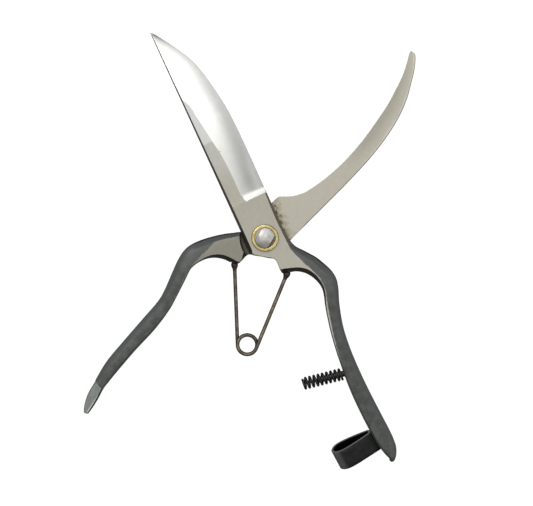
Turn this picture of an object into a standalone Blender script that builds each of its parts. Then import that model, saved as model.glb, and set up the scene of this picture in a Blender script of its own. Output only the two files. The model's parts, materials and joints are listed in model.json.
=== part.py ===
"""Floral snips: two forged halves on one pivot, opened by a hairpin spring.

Each half is drawn in its own frame, in millimetres: the pivot at the origin, +Y up its blade, +X on its
handle's side, +Z through its own face. The cutting half faces the front. The counter half is turned over,
so that the halves lap face to face, and the tool stands open at rest.
"""
import math

import bmesh
import bpy
from mathutils import Euler, Matrix, Vector

MM = 0.001

# Driving dimensions, in mm and degrees
OPEN_LEAN_CUTTING = 24.5     # the cutting blade leans this far to the left of the tool's centre line
OPEN_LEAN_COUNTER = 44.8     # the counter blade leans this far to the right
GAP = 0.3                    # clearance between neighbouring pieces
LAP = 0.15                   # half the clearance between the lapped halves
LAYER = 4.6                  # from the sliding plane to the face of each half
BLADE_HALF_WIDTH = 8.1       # pivot axis to the blade's spine
CHEEK_HALF_WIDTH = 8.45      # pivot axis to the cheek's other side
BLADE_LENGTH = 97.3          # pivot axis to the blade's tip
LAP_RADIUS = 10.6            # swing clearance milled round the pivot
STOP_OFFSET = 0.25           # closing-stop face to the pivot's centre line

SHANK_RADIUS = 3.0
HEAD_RADIUS = 4.65
HEAD_HALF_FLATS = 3.1
HEAD_FLAT_ANGLE = -31.3
RING_RADIUS = 5.6
WASHER_THICKNESS = 0.7
NUT_ACROSS_FLATS = 9.0
NUT_HEIGHT = 2.4
REST_DEPTH = LAYER + GAP + WASHER_THICKNESS + GAP + NUT_HEIGHT

CUTTING_FOOT = (2.2, -17.2)  # spring foot's centre, in its half's frame
COUNTER_FOOT = (1.3, -16.7)
FOOT_RADIUS = 1.45
FOOT_REACH = 2.1             # foot's centre to the ferrule's mouth
SOCKET_RADIUS = 2.1
COIL_PLACE = (-7.4, -44.3)   # the coil's axis at rest, from the pivot axis
WIRE_RADIUS = 0.78
COIL_RADIUS = 4.03           # to the wire's centre
BUTT_GAP = 0.1               # between a ferrule's mouth and its wire
COIL_STEP = 0.96             # each leg's coil lies this far off the tool's mid-plane

PEG_BASE = (6.3, -64.8)      # on the cutting half's inner edge
PEG_RISE = 10.4              # the cushion spring leans this far towards the pivot
PEG_RADIUS = 1.3
PEG_REACH = 11.5
CUSHION_RADIUS = 2.2         # to the wire's centre
CUSHION_WIRE = 0.47
CUSHION_TURNS = 9
CUSHION_START = 1.3
CUSHION_END = 17.0

RIVET_POINT = (6.8, -94.9)   # on the cutting half's inner edge
STRAP_DROOP = 3.5            # the loop's axis tips this far towards the handle's end
STRAP_SWIVEL = -25.7         # turned about the rivet at rest, its upper edge towards the front
STRAP_WIDTH = 9.2
STRAP_THICKNESS = 1.0
STRAP_STAND_OFF = 1.1        # handle edge to the strap's mid-thickness
RIVET_RADIUS = 0.7
RIVET_HEAD_RADIUS = 1.15

SIDES = 40                   # segments round a turned piece
WIRE_SIDES = 8
COLOURS = {
    "polished_steel": ((0.45, 0.44, 0.39), 0.3, 1.0),
    "bolt_steel": ((0.40, 0.39, 0.38), 0.35, 1.0),
    "brass": ((0.60, 0.45, 0.16), 0.3, 1.0),
    "spring_wire": ((0.07, 0.055, 0.04), 0.4, 0.9),
    "black_spring": ((0.012, 0.012, 0.014), 0.4, 0.8),
    "strap_leather": ((0.028, 0.03, 0.033), 0.55, 0.0),
}


# ---------------------------------------------------------------- helpers
def clear_scene():
    for old in list(bpy.data.objects):
        bpy.data.objects.remove(old, do_unlink=True)


def material(name):
    if name in bpy.data.materials:
        return bpy.data.materials[name]
    colour, roughness, metallic = COLOURS[name]
    made = bpy.data.materials.new(name)
    made.use_nodes = True
    shader = made.node_tree.nodes["Principled BSDF"]
    shader.inputs["Base Color"].default_value = (*colour, 1.0)
    shader.inputs["Roughness"].default_value = roughness
    shader.inputs["Metallic"].default_value = metallic
    return made


def add_object(name, mesh_builder, finish, place=None):
    """Turn a bmesh drawn in mm into a named object."""
    bmesh.ops.recalc_face_normals(mesh_builder, faces=mesh_builder.faces)
    bmesh.ops.scale(mesh_builder, vec=(MM, MM, MM), verts=mesh_builder.verts)
    mesh = bpy.data.meshes.new(name)
    mesh_builder.to_mesh(mesh)
    mesh_builder.free()
    mesh.shade_smooth()
    mesh.set_sharp_from_angle(angle=math.radians(35))
    made = bpy.data.objects.new(name, mesh)
    bpy.context.scene.collection.objects.link(made)
    if place is not None:
        made.matrix_world = place
    if finish:
        mesh.materials.append(material(finish))
    return made


def skin(rings):
    """Join closed rings of equal length into one capped solid."""
    builder = bmesh.new()
    rows = [[builder.verts.new(point) for point in ring] for ring in rings]
    count = len(rows[0])
    for row, following in zip(rows, rows[1:]):
        for i in range(count):
            j = (i + 1) % count
            builder.faces.new((row[i], row[j], following[j], following[i]))
    builder.faces.new(rows[0])
    builder.faces.new(rows[-1])
    return builder


def lathe(profile):
    """Spin a closed (radius, height) profile round Z; radius 0 is a pole."""
    builder = bmesh.new()
    rows = []
    for radius, height in profile:
        if radius == 0:
            rows.append([builder.verts.new((0, 0, height))])
        else:
            turns = [2 * math.pi * k / SIDES for k in range(SIDES)]
            points = [(radius * math.cos(t), radius * math.sin(t), height) for t in turns]
            rows.append([builder.verts.new(point) for point in points])
    pairs = list(zip(rows, rows[1:]))
    if profile[0][0] > 0:
        pairs.append((rows[-1], rows[0]))
    for row, following in pairs:
        for i in range(SIDES):
            j = (i + 1) % SIDES
            near = (row[i % len(row)], row[j % len(row)])
            far = (following[j % len(following)], following[i % len(following)])
            unique = list(dict.fromkeys(near + far))
            if len(unique) > 2:
                builder.faces.new(unique)
    return builder


def prism(outline, low, high):
    return skin([[(x, y, low) for x, y in outline], [(x, y, high) for x, y in outline]])


def tube(path, radius, sides=WIRE_SIDES):
    """Sweep a round wire along a path."""
    points = [Vector(p) for p in path]
    across = Vector((0, 0, 1))
    rings = []
    for i, point in enumerate(points):
        ahead = points[min(i + 1, len(points) - 1)] - points[max(i - 1, 0)]
        side = ahead.cross(across).normalized()
        up = side.cross(ahead).normalized()
        turns = [2 * math.pi * k / sides for k in range(sides)]
        rings.append([point + radius * (math.cos(t) * side + math.sin(t) * up) for t in turns])
    return skin(rings)


def arc(radius, start, end, steps):
    angles = [math.radians(start + (end - start) * k / steps) for k in range(steps + 1)]
    return [(radius * math.cos(a), radius * math.sin(a)) for a in angles]


def smooth_rows(rows, steps):
    """Catmull-Rom through rows of numbers."""
    padded = [rows[0]] + rows + [rows[-1]]
    result = []
    for before, first, last, after in zip(padded, padded[1:], padded[2:], padded[3:]):
        for k in range(steps):
            t = k / steps
            blend = (-t**3 + 2 * t**2 - t, 3 * t**3 - 5 * t**2 + 2, -3 * t**3 + 4 * t**2 + t, t**3 - t**2)
            quad = zip(before, first, last, after)
            result.append([sum(w * v for w, v in zip(blend, values)) / 2 for values in quad])
    result.append(list(rows[-1]))
    return result


def cut(target, builder, name, place):
    """Subtract a drawn solid from the target."""
    cutter = add_object(name, builder, None, place)
    cutter.hide_render = True
    cutter.display_type = "WIRE"
    modifier = target.modifiers.new(name, "BOOLEAN")
    modifier.operation = "DIFFERENCE"
    modifier.solver = "EXACT"
    modifier.object = cutter


# ---------------------------------------------------------------- frames
CUTTING_FRAME = Matrix.Rotation(math.radians(OPEN_LEAN_CUTTING), 4, "Z")
COUNTER_FRAME = Euler((0, math.pi, 0)).to_matrix().to_4x4()
COUNTER_FRAME = Matrix.Rotation(math.radians(-OPEN_LEAN_COUNTER), 4, "Z") @ COUNTER_FRAME


def placed(frame, x, y, z=0.0):
    """A point drawn in a half's frame, in world millimetres."""
    return frame @ Vector((x, y, z))


def at(point, rotation=None):
    """A frame whose origin is a world point given in mm."""
    moved = Matrix.Translation(point * MM)
    return moved @ rotation if rotation else moved


FOOT_RIGHT = placed(CUTTING_FRAME, *CUTTING_FOOT)
FOOT_LEFT = placed(COUNTER_FRAME, *COUNTER_FOOT)
COIL = Vector((*COIL_PLACE, 0))


# ---------------------------------------------------------------- forged halves
def section(left, right, low, high, left_bevel, right_bevel, under):
    """Eight corners across a bar from its left side to its right; a bevel is (width, drop)."""
    left, right = Vector(left), Vector(right)
    across = (right - left).normalized()

    def corner(base, inward, height):
        spot = base + across * inward
        return (spot.x, spot.y, height)

    return [
        corner(left, left_bevel[0], high),
        corner(right, -right_bevel[0], high),
        corner(right, 0, high - right_bevel[1]),
        corner(right, 0, low + under),
        corner(right, -under, low),
        corner(left, under, low),
        corner(left, 0, low + under),
        corner(left, 0, high - left_bevel[1]),
    ]


CHEEK_BEVEL = (0.8, 0.8)
UNDER_BEVEL = 0.2


def hub_sections():
    """From the cheek down past the pivot to where the handle starts."""
    left_right = [
        ((-BLADE_HALF_WIDTH, 11.0), (CHEEK_HALF_WIDTH, 11.0)),
        ((-BLADE_HALF_WIDTH, -4.0), (CHEEK_HALF_WIDTH, -1.0)),
        ((-7.2, -4.7), (8.5, -1.8)),
        ((-1.6, -8.4), (8.7, -3.4)),
    ]
    return [section(l, r, LAP, LAYER, CHEEK_BEVEL, CHEEK_BEVEL, UNDER_BEVEL) for l, r in left_right]


# inner x, inner y, outer x, outer y, half thickness, corner bevel
HANDLE_ROOT = [
    (STOP_OFFSET, -9.6, 9.0, -4.6, LAYER, 0.8),
    (STOP_OFFSET, -16.4, 13.6, -12.2, LAYER, 0.8),
    (1.6, -17.3, 15.2, -14.6, LAYER, 0.9),
    (5.5, -17.8, 17.2, -18.0, LAYER, 1.0),
    (9.7, -20.8, 19.4, -22.8, LAYER, 1.2),
    (12.3, -25.4, 20.1, -26.6, 4.5, 1.4),
    (12.6, -30.6, 19.1, -31.6, 4.4, 1.7),
    (10.8, -36.6, 16.8, -37.6, 4.3, 1.8),
]
CUTTING_HANDLE_END = [
    (8.9, -45.0, 14.6, -45.4, 4.1, 1.8),
    (7.0, -58.0, 13.2, -58.2, 4.0, 1.8),
    (5.95, -71.0, 13.0, -71.0, 3.9, 1.9),
    (6.0, -84.0, 13.5, -84.0, 3.7, 1.9),
    (6.9, -96.0, 14.1, -95.6, 3.5, 1.8),
    (8.3, -103.0, 13.0, -103.4, 3.0, 1.5),
    (9.2, -106.0, 11.3, -106.0, 2.2, 0.8),
]
COUNTER_HANDLE_END = [
    (8.3, -45.0, 14.3, -45.2, 4.1, 1.8),
    (5.8, -58.0, 12.5, -58.2, 4.0, 1.8),
    (5.4, -71.0, 11.8, -71.2, 3.9, 1.8),
    (4.3, -84.0, 10.3, -84.4, 3.7, 1.7),
    (2.9, -93.0, 8.0, -93.8, 3.3, 1.4),
    (1.2, -99.6, 5.4, -100.6, 2.6, 1.0),
    (0.7, -103.6, 2.3, -104.8, 1.8, 0.5),
]


def handle_sections(end_rows):
    sections = []
    smoothed = smooth_rows(HANDLE_ROOT[1:] + end_rows, 3)
    for row in [HANDLE_ROOT[0]] + smoothed:
        inner, outer = (row[0], row[1]), (row[2], row[3])
        thick, bevel = row[4], row[5]
        sections.append(section(inner, outer, -thick, thick, (bevel, bevel), (bevel, bevel), bevel))
    return sections


def cutting_blade_sections():
    """From the tip to the foot of the ground bevel: height up the blade, edge side x, face thickness."""
    rows = [
        (BLADE_LENGTH, -7.6, 1.7, 0.3),
        (94.6, -5.5, 1.9, 1.5),
        (89.7, -2.5, 2.2, 3.5),
        (80.0, 2.7, 2.7, 6.5),
        (69.6, 5.7, 3.1, 9.5),
        (59.0, 7.5, 3.5, 11.5),
        (47.0, 8.3, 3.9, 11.3),
        (32.0, 8.5, 4.2, 10.3),
        (19.5, CHEEK_HALF_WIDTH, 4.5, 9.9),
    ]
    edge_thickness = 0.45
    sections = []
    for height, edge, face, bevel in smooth_rows(rows, 2):
        left, right = (-BLADE_HALF_WIDTH, height), (edge, height)
        spine_bevel = min(0.8, 0.2 * (edge + BLADE_HALF_WIDTH))
        drop = face - LAP - edge_thickness
        width = min(bevel, edge + BLADE_HALF_WIDTH - spine_bevel - 0.05)
        sections.append(section(left, right, LAP, face, (spine_bevel, spine_bevel), (width, drop), 0.1))
    left, right = (-BLADE_HALF_WIDTH, 17.0), (CHEEK_HALF_WIDTH, 17.0)
    sections.append(section(left, right, LAP, LAYER, CHEEK_BEVEL, CHEEK_BEVEL, UNDER_BEVEL))
    return sections


def counter_blade_sections():
    """The hooked blade: outer side x, y, inner side x, y and face thickness, from the tip down."""
    rows = [
        (9.9, 98.2, 12.0, 97.9, 2.2),
        (6.6, 95.2, 10.3, 95.0, 2.5),
        (0.6, 85.8, 6.2, 85.6, 2.9),
        (-4.0, 75.4, 3.0, 75.4, 3.2),
        (-6.9, 62.2, 0.5, 62.2, 3.5),
        (-7.8, 49.2, -0.8, 49.2, 3.8),
        (-8.1, 37.7, -0.5, 37.7, 4.1),
        (-8.1, 28.0, 0.9, 27.4, 4.3),
        (-8.1, 22.3, 3.0, 22.3, 4.4),
        (-8.1, 18.0, 7.6, 17.0, 4.5),
    ]
    sections = []
    for row in smooth_rows(rows, 2):
        edge_bevel = (0.4, 0.4)
        sections.append(section(row[:2], row[2:4], LAP, row[4], edge_bevel, edge_bevel, UNDER_BEVEL))
    return sections


def lap_cutter():
    """Clears the other half's cheek: the swing circle, opened out to the closing stop."""
    outline = [(14.0, -5.6)]
    outline += arc(LAP_RADIUS, -31.9, -78.0, 10)
    outline += [(0.1, -15.1), (-6.0, -15.1), (-14.0, 0.0), (-14.0, 16.0), (14.0, 16.0)]
    return prism(outline, -3 * LAYER, LAP)


def round_cutter(x, y, radius, low, high):
    outline = [(x + px, y + py) for px, py in arc(radius, 0, 360 - 360 / SIDES, SIDES - 1)]
    return prism(outline, low, high)


def edge_hole(point, angle, radius, depth):
    """A round hole bored into an edge from outside, pointing along an angle in the half's plane."""
    direction = Vector((math.cos(math.radians(angle)), math.sin(math.radians(angle)), 0))
    mouth = Vector((*point, 0)) - direction * 3.0
    return tube([mouth, mouth + direction * (3.0 + depth)], radius, 24)


def forged_half(name, blade_sections, handle_end, foot, frame):
    builder = skin(blade_sections + hub_sections() + handle_sections(handle_end))
    half = add_object(name, builder, "polished_steel", frame)
    cut(half, lap_cutter(), f"cut_{name}_lap", frame)
    cut(half, round_cutter(0, 0, SHANK_RADIUS + GAP, -8, 8), f"cut_{name}_bore", frame)
    cut(half, round_cutter(*foot, SOCKET_RADIUS, -2.2, 2.2), f"cut_{name}_socket", frame)
    return half


def build_halves():
    sections = cutting_blade_sections()
    cutting = forged_half("cutting_blade", sections, CUTTING_HANDLE_END, CUTTING_FOOT, CUTTING_FRAME)
    peg_hole = edge_hole(PEG_BASE, -PEG_RISE, PEG_RADIUS + GAP, 3.2)
    cut(cutting, peg_hole, "cut_peg_hole", CUTTING_FRAME)
    rivet_hole = edge_hole(RIVET_POINT, STRAP_DROOP, RIVET_RADIUS + GAP, 3.6)
    cut(cutting, rivet_hole, "cut_rivet_hole", CUTTING_FRAME)
    sections = counter_blade_sections()
    forged_half("counter_blade", sections, COUNTER_HANDLE_END, COUNTER_FOOT, COUNTER_FRAME)


# ---------------------------------------------------------------- pivot
def build_pivot():
    seat = LAYER + GAP
    head = seat + WASHER_THICKNESS + GAP
    nut_top = -head
    nut_bottom = -REST_DEPTH
    bore = SHANK_RADIUS + GAP

    profile = [(0, nut_bottom), (SHANK_RADIUS - 0.4, nut_bottom), (SHANK_RADIUS, nut_bottom + 0.4)]
    profile += [(SHANK_RADIUS, head), (HEAD_RADIUS, head), (HEAD_RADIUS, head + 0.7)]
    profile += [(4.0, head + 1.15), (2.6, head + 1.5), (1.3, head + 1.65), (0, head + 1.7)]
    bolt = add_object("pivot_bolt", lathe(profile), "bolt_steel")
    turn = Matrix.Rotation(math.radians(HEAD_FLAT_ANGLE), 4, "Z")
    for side, label in ((1, "right"), (-1, "left")):
        inner, outer = side * HEAD_HALF_FLATS, side * 2 * HEAD_RADIUS
        outline = [(inner, -6), (outer, -6), (outer, 6), (inner, 6)]
        cut(bolt, prism(outline, head + 0.35, head + 4), f"cut_head_{label}", turn)

    rim = RING_RADIUS - 0.65
    ring = [(bore, seat), (RING_RADIUS, seat), (RING_RADIUS, seat + 0.9), (RING_RADIUS - 0.2, seat + 1.2)]
    ring += [(rim + 0.1, seat + 1.2), (rim, seat + 1.0)]
    ring += [(rim, seat + WASHER_THICKNESS), (bore, seat + WASHER_THICKNESS)]
    add_object("pivot_ring", lathe(ring), "brass")

    washer = [(bore, -seat - WASHER_THICKNESS), (RING_RADIUS, -seat - WASHER_THICKNESS)]
    washer += [(RING_RADIUS, -seat), (bore, -seat)]
    add_object("rear_washer", lathe(washer), "brass")

    corner = NUT_ACROSS_FLATS / 2 / math.cos(math.pi / 6)
    nut = add_object("pivot_nut", prism(arc(corner, 0, 300, 5), nut_bottom, nut_top), "bolt_steel")
    cut(nut, round_cutter(0, 0, bore, nut_bottom - 1, nut_top + 1), "cut_nut_bore", Matrix.Identity(4))


# ---------------------------------------------------------------- hairpin spring
def leg_path(foot, height, turn_sign, wrap):
    """From the foot's ferrule down to the coil, then round it. Points are relative to the coil's axis."""
    start = foot - COIL
    start_angle = math.atan2(start.y, start.x)
    reach = start.length
    tangent_angle = start_angle - turn_sign * math.acos(COIL_RADIUS / reach)
    touch = Vector((math.cos(tangent_angle), math.sin(tangent_angle), 0)) * COIL_RADIUS
    toward = (touch - start).normalized()
    entry = start + toward * (FOOT_REACH + BUTT_GAP)
    level = Vector((0, 0, height))
    path = [entry, entry.lerp(touch + level, 0.5), touch + level]
    steps = max(4, int(wrap / 15))
    for k in range(1, steps + 1):
        angle = tangent_angle - turn_sign * math.radians(wrap * k / steps)
        path.append(Vector((math.cos(angle), math.sin(angle), 0)) * COIL_RADIUS + level)
    return path, entry + COIL


def ferrule(name, foot, entry):
    """A tapered foot on the wire's end: a ball in the handle's socket that narrows to the wire."""
    axis = (entry - foot).normalized()
    profile = [(0, -FOOT_RADIUS), (0.8, -1.2), (1.3, -0.6), (FOOT_RADIUS, 0), (1.3, 0.8), (1.0, 1.5)]
    profile += [(WIRE_RADIUS + 0.08, FOOT_REACH), (0, FOOT_REACH)]
    turn = axis.to_track_quat("Z", "Y").to_matrix().to_4x4()
    add_object(name, lathe(profile), "spring_wire", at(foot, turn))


def build_hairpin():
    for side, foot, sign in (("right", FOOT_RIGHT, 1), ("left", FOOT_LEFT, -1)):
        wrap = 262 if side == "right" else 236
        path, entry = leg_path(foot, sign * COIL_STEP, sign, wrap)
        add_object(f"hairpin_spring_{side}", tube(path, WIRE_RADIUS), "spring_wire", at(COIL))
        ferrule(f"spring_foot_{side}", foot, entry)


# ---------------------------------------------------------------- cushion spring
def build_cushion():
    rise = math.radians(PEG_RISE)
    outward = Vector((-math.cos(rise), math.sin(rise), 0))
    turn = CUTTING_FRAME.to_3x3() @ outward
    frame = at(placed(CUTTING_FRAME, *PEG_BASE), turn.to_track_quat("Z", "Y").to_matrix().to_4x4())
    foot_end = -2.9
    profile = [(0, foot_end), (PEG_RADIUS, foot_end), (PEG_RADIUS, PEG_REACH - 0.5)]
    profile += [(0.8, PEG_REACH), (0, PEG_REACH)]
    add_object("cushion_peg", lathe(profile), "black_spring", frame)

    steps = CUSHION_TURNS * 14
    path = []
    for k in range(steps + 1):
        share = k / steps
        angle = 2 * math.pi * CUSHION_TURNS * share
        height = CUSHION_START + (CUSHION_END - CUSHION_START) * share
        path.append((CUSHION_RADIUS * math.cos(angle), CUSHION_RADIUS * math.sin(angle), height))
    add_object("cushion_spring", tube(path, CUSHION_WIRE, 6), "black_spring", frame)


# ---------------------------------------------------------------- strap
def strap_outline():
    """The loop's mid-thickness, half of it: distance from the handle's edge and half opening."""
    return [(STRAP_STAND_OFF, 1.4), (STRAP_STAND_OFF + 0.25, 1.9), (2.2, 2.1), (6.0, 2.6), (10.5, 3.2),
            (14.0, 3.5), (16.2, 3.1), (17.3, 2.0), (17.7, 0.7)]


def offset_outline(points, distance):
    """Move a closed outline sideways by a distance."""
    moved = []
    count = len(points)
    for i, point in enumerate(points):
        ahead = Vector(points[(i + 1) % count]) - Vector(points[i - 1])
        normal = Vector((ahead.y, -ahead.x)).normalized()
        moved.append(Vector(point) + normal * distance)
    return moved


def build_strap():
    half = strap_outline()
    loop = half + [(u, -w) for u, w in reversed(half)]
    half_width = STRAP_WIDTH / 2
    inner = offset_outline(loop, -STRAP_THICKNESS / 2)
    outer = offset_outline(loop, STRAP_THICKNESS / 2)
    builder = bmesh.new()
    rows = []
    for outline, side in ((inner, -1), (outer, -1), (outer, 1), (inner, 1)):
        rows.append([builder.verts.new((p.y, side * half_width, p.x)) for p in outline])
    for row, following in zip(rows, rows[1:] + rows[:1]):
        for i in range(len(loop)):
            j = (i + 1) % len(loop)
            builder.faces.new((row[i], row[j], following[j], following[i]))

    droop = math.radians(STRAP_DROOP)
    outward = Vector((-math.cos(droop), -math.sin(droop), 0))
    along = Vector((-math.sin(droop), math.cos(droop), 0))
    axes = Matrix((along.cross(outward), along, outward)).transposed().to_4x4()
    neutral = CUTTING_FRAME @ axes
    base = placed(CUTTING_FRAME, *RIVET_POINT)
    swivel = Matrix.Rotation(math.radians(STRAP_SWIVEL), 4, "Z")
    strap = add_object("strap_loop", builder, "strap_leather", at(base, neutral @ swivel))
    cut(strap, round_cutter(0, 0, RIVET_RADIUS + GAP, -1, 3), "cut_strap_hole", at(base, neutral))

    seat = STRAP_STAND_OFF + STRAP_THICKNESS / 2 + GAP
    profile = [(0, -3.2), (RIVET_RADIUS, -3.2), (RIVET_RADIUS, seat), (RIVET_HEAD_RADIUS, seat)]
    profile += [(RIVET_HEAD_RADIUS, seat + 0.3), (0.7, seat + 0.65), (0, seat + 0.75)]
    add_object("strap_rivet", lathe(profile), "bolt_steel", at(base, neutral))


def lift_to_rest():
    """Raise the whole tool, so that the bolt's tail end and the nut's face are at z = 0."""
    for made in bpy.context.scene.objects:
        made.location.z += REST_DEPTH * MM


clear_scene()
build_halves()
build_pivot()
build_hairpin()
build_cushion()
build_strap()
lift_to_rest()
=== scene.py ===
"""Floral snips: the looks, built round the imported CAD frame.

Each forged half is drawn in its own frame, in millimetres: the pivot at the origin, +Y up its blade, +X on
its handle's side, +Z through its own face. It is a ladder of rungs from the blade's tip to the handle's end,
and each rung carries the bar's cross-section.
"""

import json
import math

import bmesh
import bpy
import numpy as np
from mathutils import Matrix, Vector, noise


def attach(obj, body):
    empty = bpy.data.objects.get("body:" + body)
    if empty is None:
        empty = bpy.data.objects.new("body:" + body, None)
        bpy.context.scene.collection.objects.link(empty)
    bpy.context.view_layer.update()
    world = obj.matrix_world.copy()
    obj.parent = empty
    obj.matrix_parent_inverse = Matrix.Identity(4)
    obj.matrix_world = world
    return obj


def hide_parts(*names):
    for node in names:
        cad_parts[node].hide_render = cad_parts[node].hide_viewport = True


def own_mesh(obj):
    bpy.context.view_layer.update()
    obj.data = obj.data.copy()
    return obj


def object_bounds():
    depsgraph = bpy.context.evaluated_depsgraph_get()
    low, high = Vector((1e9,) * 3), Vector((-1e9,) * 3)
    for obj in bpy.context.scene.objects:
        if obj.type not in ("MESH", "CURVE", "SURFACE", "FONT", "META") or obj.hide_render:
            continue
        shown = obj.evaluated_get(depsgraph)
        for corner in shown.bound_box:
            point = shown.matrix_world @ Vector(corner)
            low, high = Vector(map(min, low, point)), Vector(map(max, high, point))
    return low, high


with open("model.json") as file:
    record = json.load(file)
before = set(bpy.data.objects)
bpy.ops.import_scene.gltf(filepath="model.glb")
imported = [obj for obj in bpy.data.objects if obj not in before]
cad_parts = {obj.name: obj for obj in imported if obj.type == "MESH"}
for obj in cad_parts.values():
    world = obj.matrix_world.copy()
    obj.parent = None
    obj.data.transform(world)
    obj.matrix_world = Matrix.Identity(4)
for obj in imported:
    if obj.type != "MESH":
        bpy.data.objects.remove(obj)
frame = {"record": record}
cad_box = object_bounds()

MM = 0.001
OPEN_LEAN_CUTTING = 24.5     # degrees each blade leans when the snips are open
OPEN_LEAN_COUNTER = 44.8
LAP = 0.15                   # half the clearance between the lapped halves
LAYER = 4.6                  # sliding plane to the face of each half
LAP_RADIUS = 10.6            # swing clearance milled round the pivot
STOP_X = 0.25                # closing-stop face
SPINE_X = -8.1               # straight back of the cutting blade
CHEEK_RIGHT = 8.45           # and the other side of its cheek
RIGHT_SOCKET_RADIUS = 1.5    # where the springs' feet enter the handles
LEFT_SOCKET_RADIUS = 1.95    # wider, because the left foot shifts a little as the snips close
SOCKET_HALF_HEIGHT = 1.55
BORE_RADIUS = 3.3            # the pivot's clearance hole, through the halves, ring, washer and nut
BEVEL_FOOT = 17.0            # where the hollow grind ends, above the cheek

JOINTS = {joint["name"]: joint for joint in frame["record"]["behaviour"]["joints"]}
PIVOT_HEIGHT = JOINTS["blade_pivot"]["pos_m"][2] / MM


def joint_place(name):
    """A joint's position in mm, from the pivot in the sliding plane."""
    return Vector(JOINTS[name]["pos_m"]) / MM - Vector((0, 0, PIVOT_HEIGHT))


FOOT_RIGHT = joint_place("spring_foot_hinge")
COIL = joint_place("spring_coil")
RIVET = joint_place("strap_swivel")
RIVET_AXIS = Vector(JOINTS["strap_swivel"]["axis"])

CUTTING_FRAME = Matrix.Rotation(math.radians(OPEN_LEAN_CUTTING), 4, "Z")
COUNTER_FRAME = Matrix.Rotation(math.radians(-OPEN_LEAN_COUNTER), 4, "Z") @ Matrix.Rotation(math.pi, 4, "Y")
ACROSS_CUTTING = (CUTTING_FRAME.inverted() @ COUNTER_FRAME)[0].copy()    # its X, in the counter half's frame
CUTTING_FOOT = CUTTING_FRAME.inverted() @ FOOT_RIGHT
COUNTER_FOOT = Vector((1.3, -16.7, 0))
FOOT_LEFT = COUNTER_FRAME @ COUNTER_FOOT
PEG_BASE = CUTTING_FRAME @ Vector((6.3, -64.8, 0))
PEG_RISE = 10.4              # degrees between the peg and the cutting half's -X


# ========node helpers
class Nodes:
    """A short way to write a node tree."""

    def __init__(self, owner):
        owner.use_nodes = True
        self.tree = owner.node_tree

    def add(self, kind):
        return self.tree.nodes.new("ShaderNode" + kind)

    def link(self, value, socket):
        """Feed a socket from another socket, or set it to a number or a colour."""
        if isinstance(value, bpy.types.NodeSocket):
            self.tree.links.new(value, socket)
        elif isinstance(value, (tuple, list)) and len(value) == 3 and socket.type == "RGBA":
            socket.default_value = (*value, 1.0)
        else:
            socket.default_value = value

    def attribute(self, name):
        node = self.add("Attribute")
        node.attribute_name = name
        return node.outputs["Fac"]

    def split(self, vector):
        node = self.add("SeparateXYZ")
        self.link(vector, node.inputs[0])
        return node.outputs

    def camera_ray(self):
        return self.add("LightPath").outputs["Is Camera Ray"]

    def noise(self, vector, scale, detail=3.0, rough=0.55):
        node = self.add("TexNoise")
        self.link(vector, node.inputs["Vector"])
        node.inputs["Scale"].default_value = scale
        node.inputs["Detail"].default_value = detail
        node.inputs["Roughness"].default_value = rough
        return node.outputs["Fac"]

    def math(self, operation, first, second=0.0, clamp=False):
        node = self.add("Math")
        node.operation = operation
        node.use_clamp = clamp
        self.link(first, node.inputs[0])
        self.link(second, node.inputs[1])
        return node.outputs[0]

    def plus(self, first, second, clamp=False):
        return self.math("ADD", first, second, clamp)

    def minus(self, first, second):
        return self.math("SUBTRACT", first, second)

    def times(self, first, second, clamp=False):
        return self.math("MULTIPLY", first, second, clamp)

    def step(self, value, low, high, to_low=0.0, to_high=1.0):
        """A smooth ramp of value from low to high."""
        node = self.add("MapRange")
        node.interpolation_type = "SMOOTHSTEP"
        for socket, number in zip(node.inputs, (value, low, high, to_low, to_high)):
            self.link(number, socket)
        return node.outputs[0]

    def swing(self, field, amount):
        """A noise field turned into -amount to +amount."""
        return self.times(self.minus(field, 0.5), amount * 2)

    def mix(self, share, first, second):
        node = self.add("Mix")
        node.data_type = "RGBA"
        self.link(share, node.inputs["Factor"])
        self.link(first, node.inputs[6])
        self.link(second, node.inputs[7])
        return node.outputs[2]

    def blend(self, share, first, second):
        """Mix two numbers."""
        node = self.add("Mix")
        self.link(share, node.inputs["Factor"])
        self.link(first, node.inputs[2])
        self.link(second, node.inputs[3])
        return node.outputs[0]


class Finish(Nodes):
    """A material, whose textures lie in the frame that the piece was drawn in."""

    def __init__(self, name, place=Matrix.Identity(4)):
        self.material = bpy.data.materials.new(name)
        super().__init__(self.material)
        self.shader = self.tree.nodes["Principled BSDF"]
        self.turn = place.inverted().to_euler()
        self.shift = place.inverted().to_3x3() @ Vector((0, 0, -PIVOT_HEIGHT * MM))

    def set(self, **inputs):
        for name, value in inputs.items():
            self.link(value, self.shader.inputs[name.replace("_", " ")])

    def turned(self, output, shift=(0, 0, 0)):
        """A coordinate output, turned into the piece's own frame."""
        mapping = self.add("Mapping")
        mapping.inputs["Rotation"].default_value = self.turn
        mapping.inputs["Location"].default_value = shift
        self.link(self.add("TexCoord").outputs[output], mapping.inputs["Vector"])
        return mapping.outputs["Vector"]

    def coordinates(self, scale=(1, 1, 1)):
        """Coordinates in millimetres from the pivot, stretched by scale."""
        mapping = self.add("Mapping")
        mapping.inputs["Scale"].default_value = [s / MM for s in scale]
        self.link(self.turned("Object", self.shift), mapping.inputs["Vector"])
        return mapping.outputs["Vector"]

    def own_normal(self):
        """The surface normal's X, Y and Z in the piece's own frame."""
        return self.split(self.turned("Normal"))

    def bump(self, height, distance, strength):
        node = self.add("Bump")
        node.inputs["Distance"].default_value = distance
        node.inputs["Strength"].default_value = strength
        self.link(height, node.inputs["Height"])
        self.link(node.outputs["Normal"], self.shader.inputs["Normal"])


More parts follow.
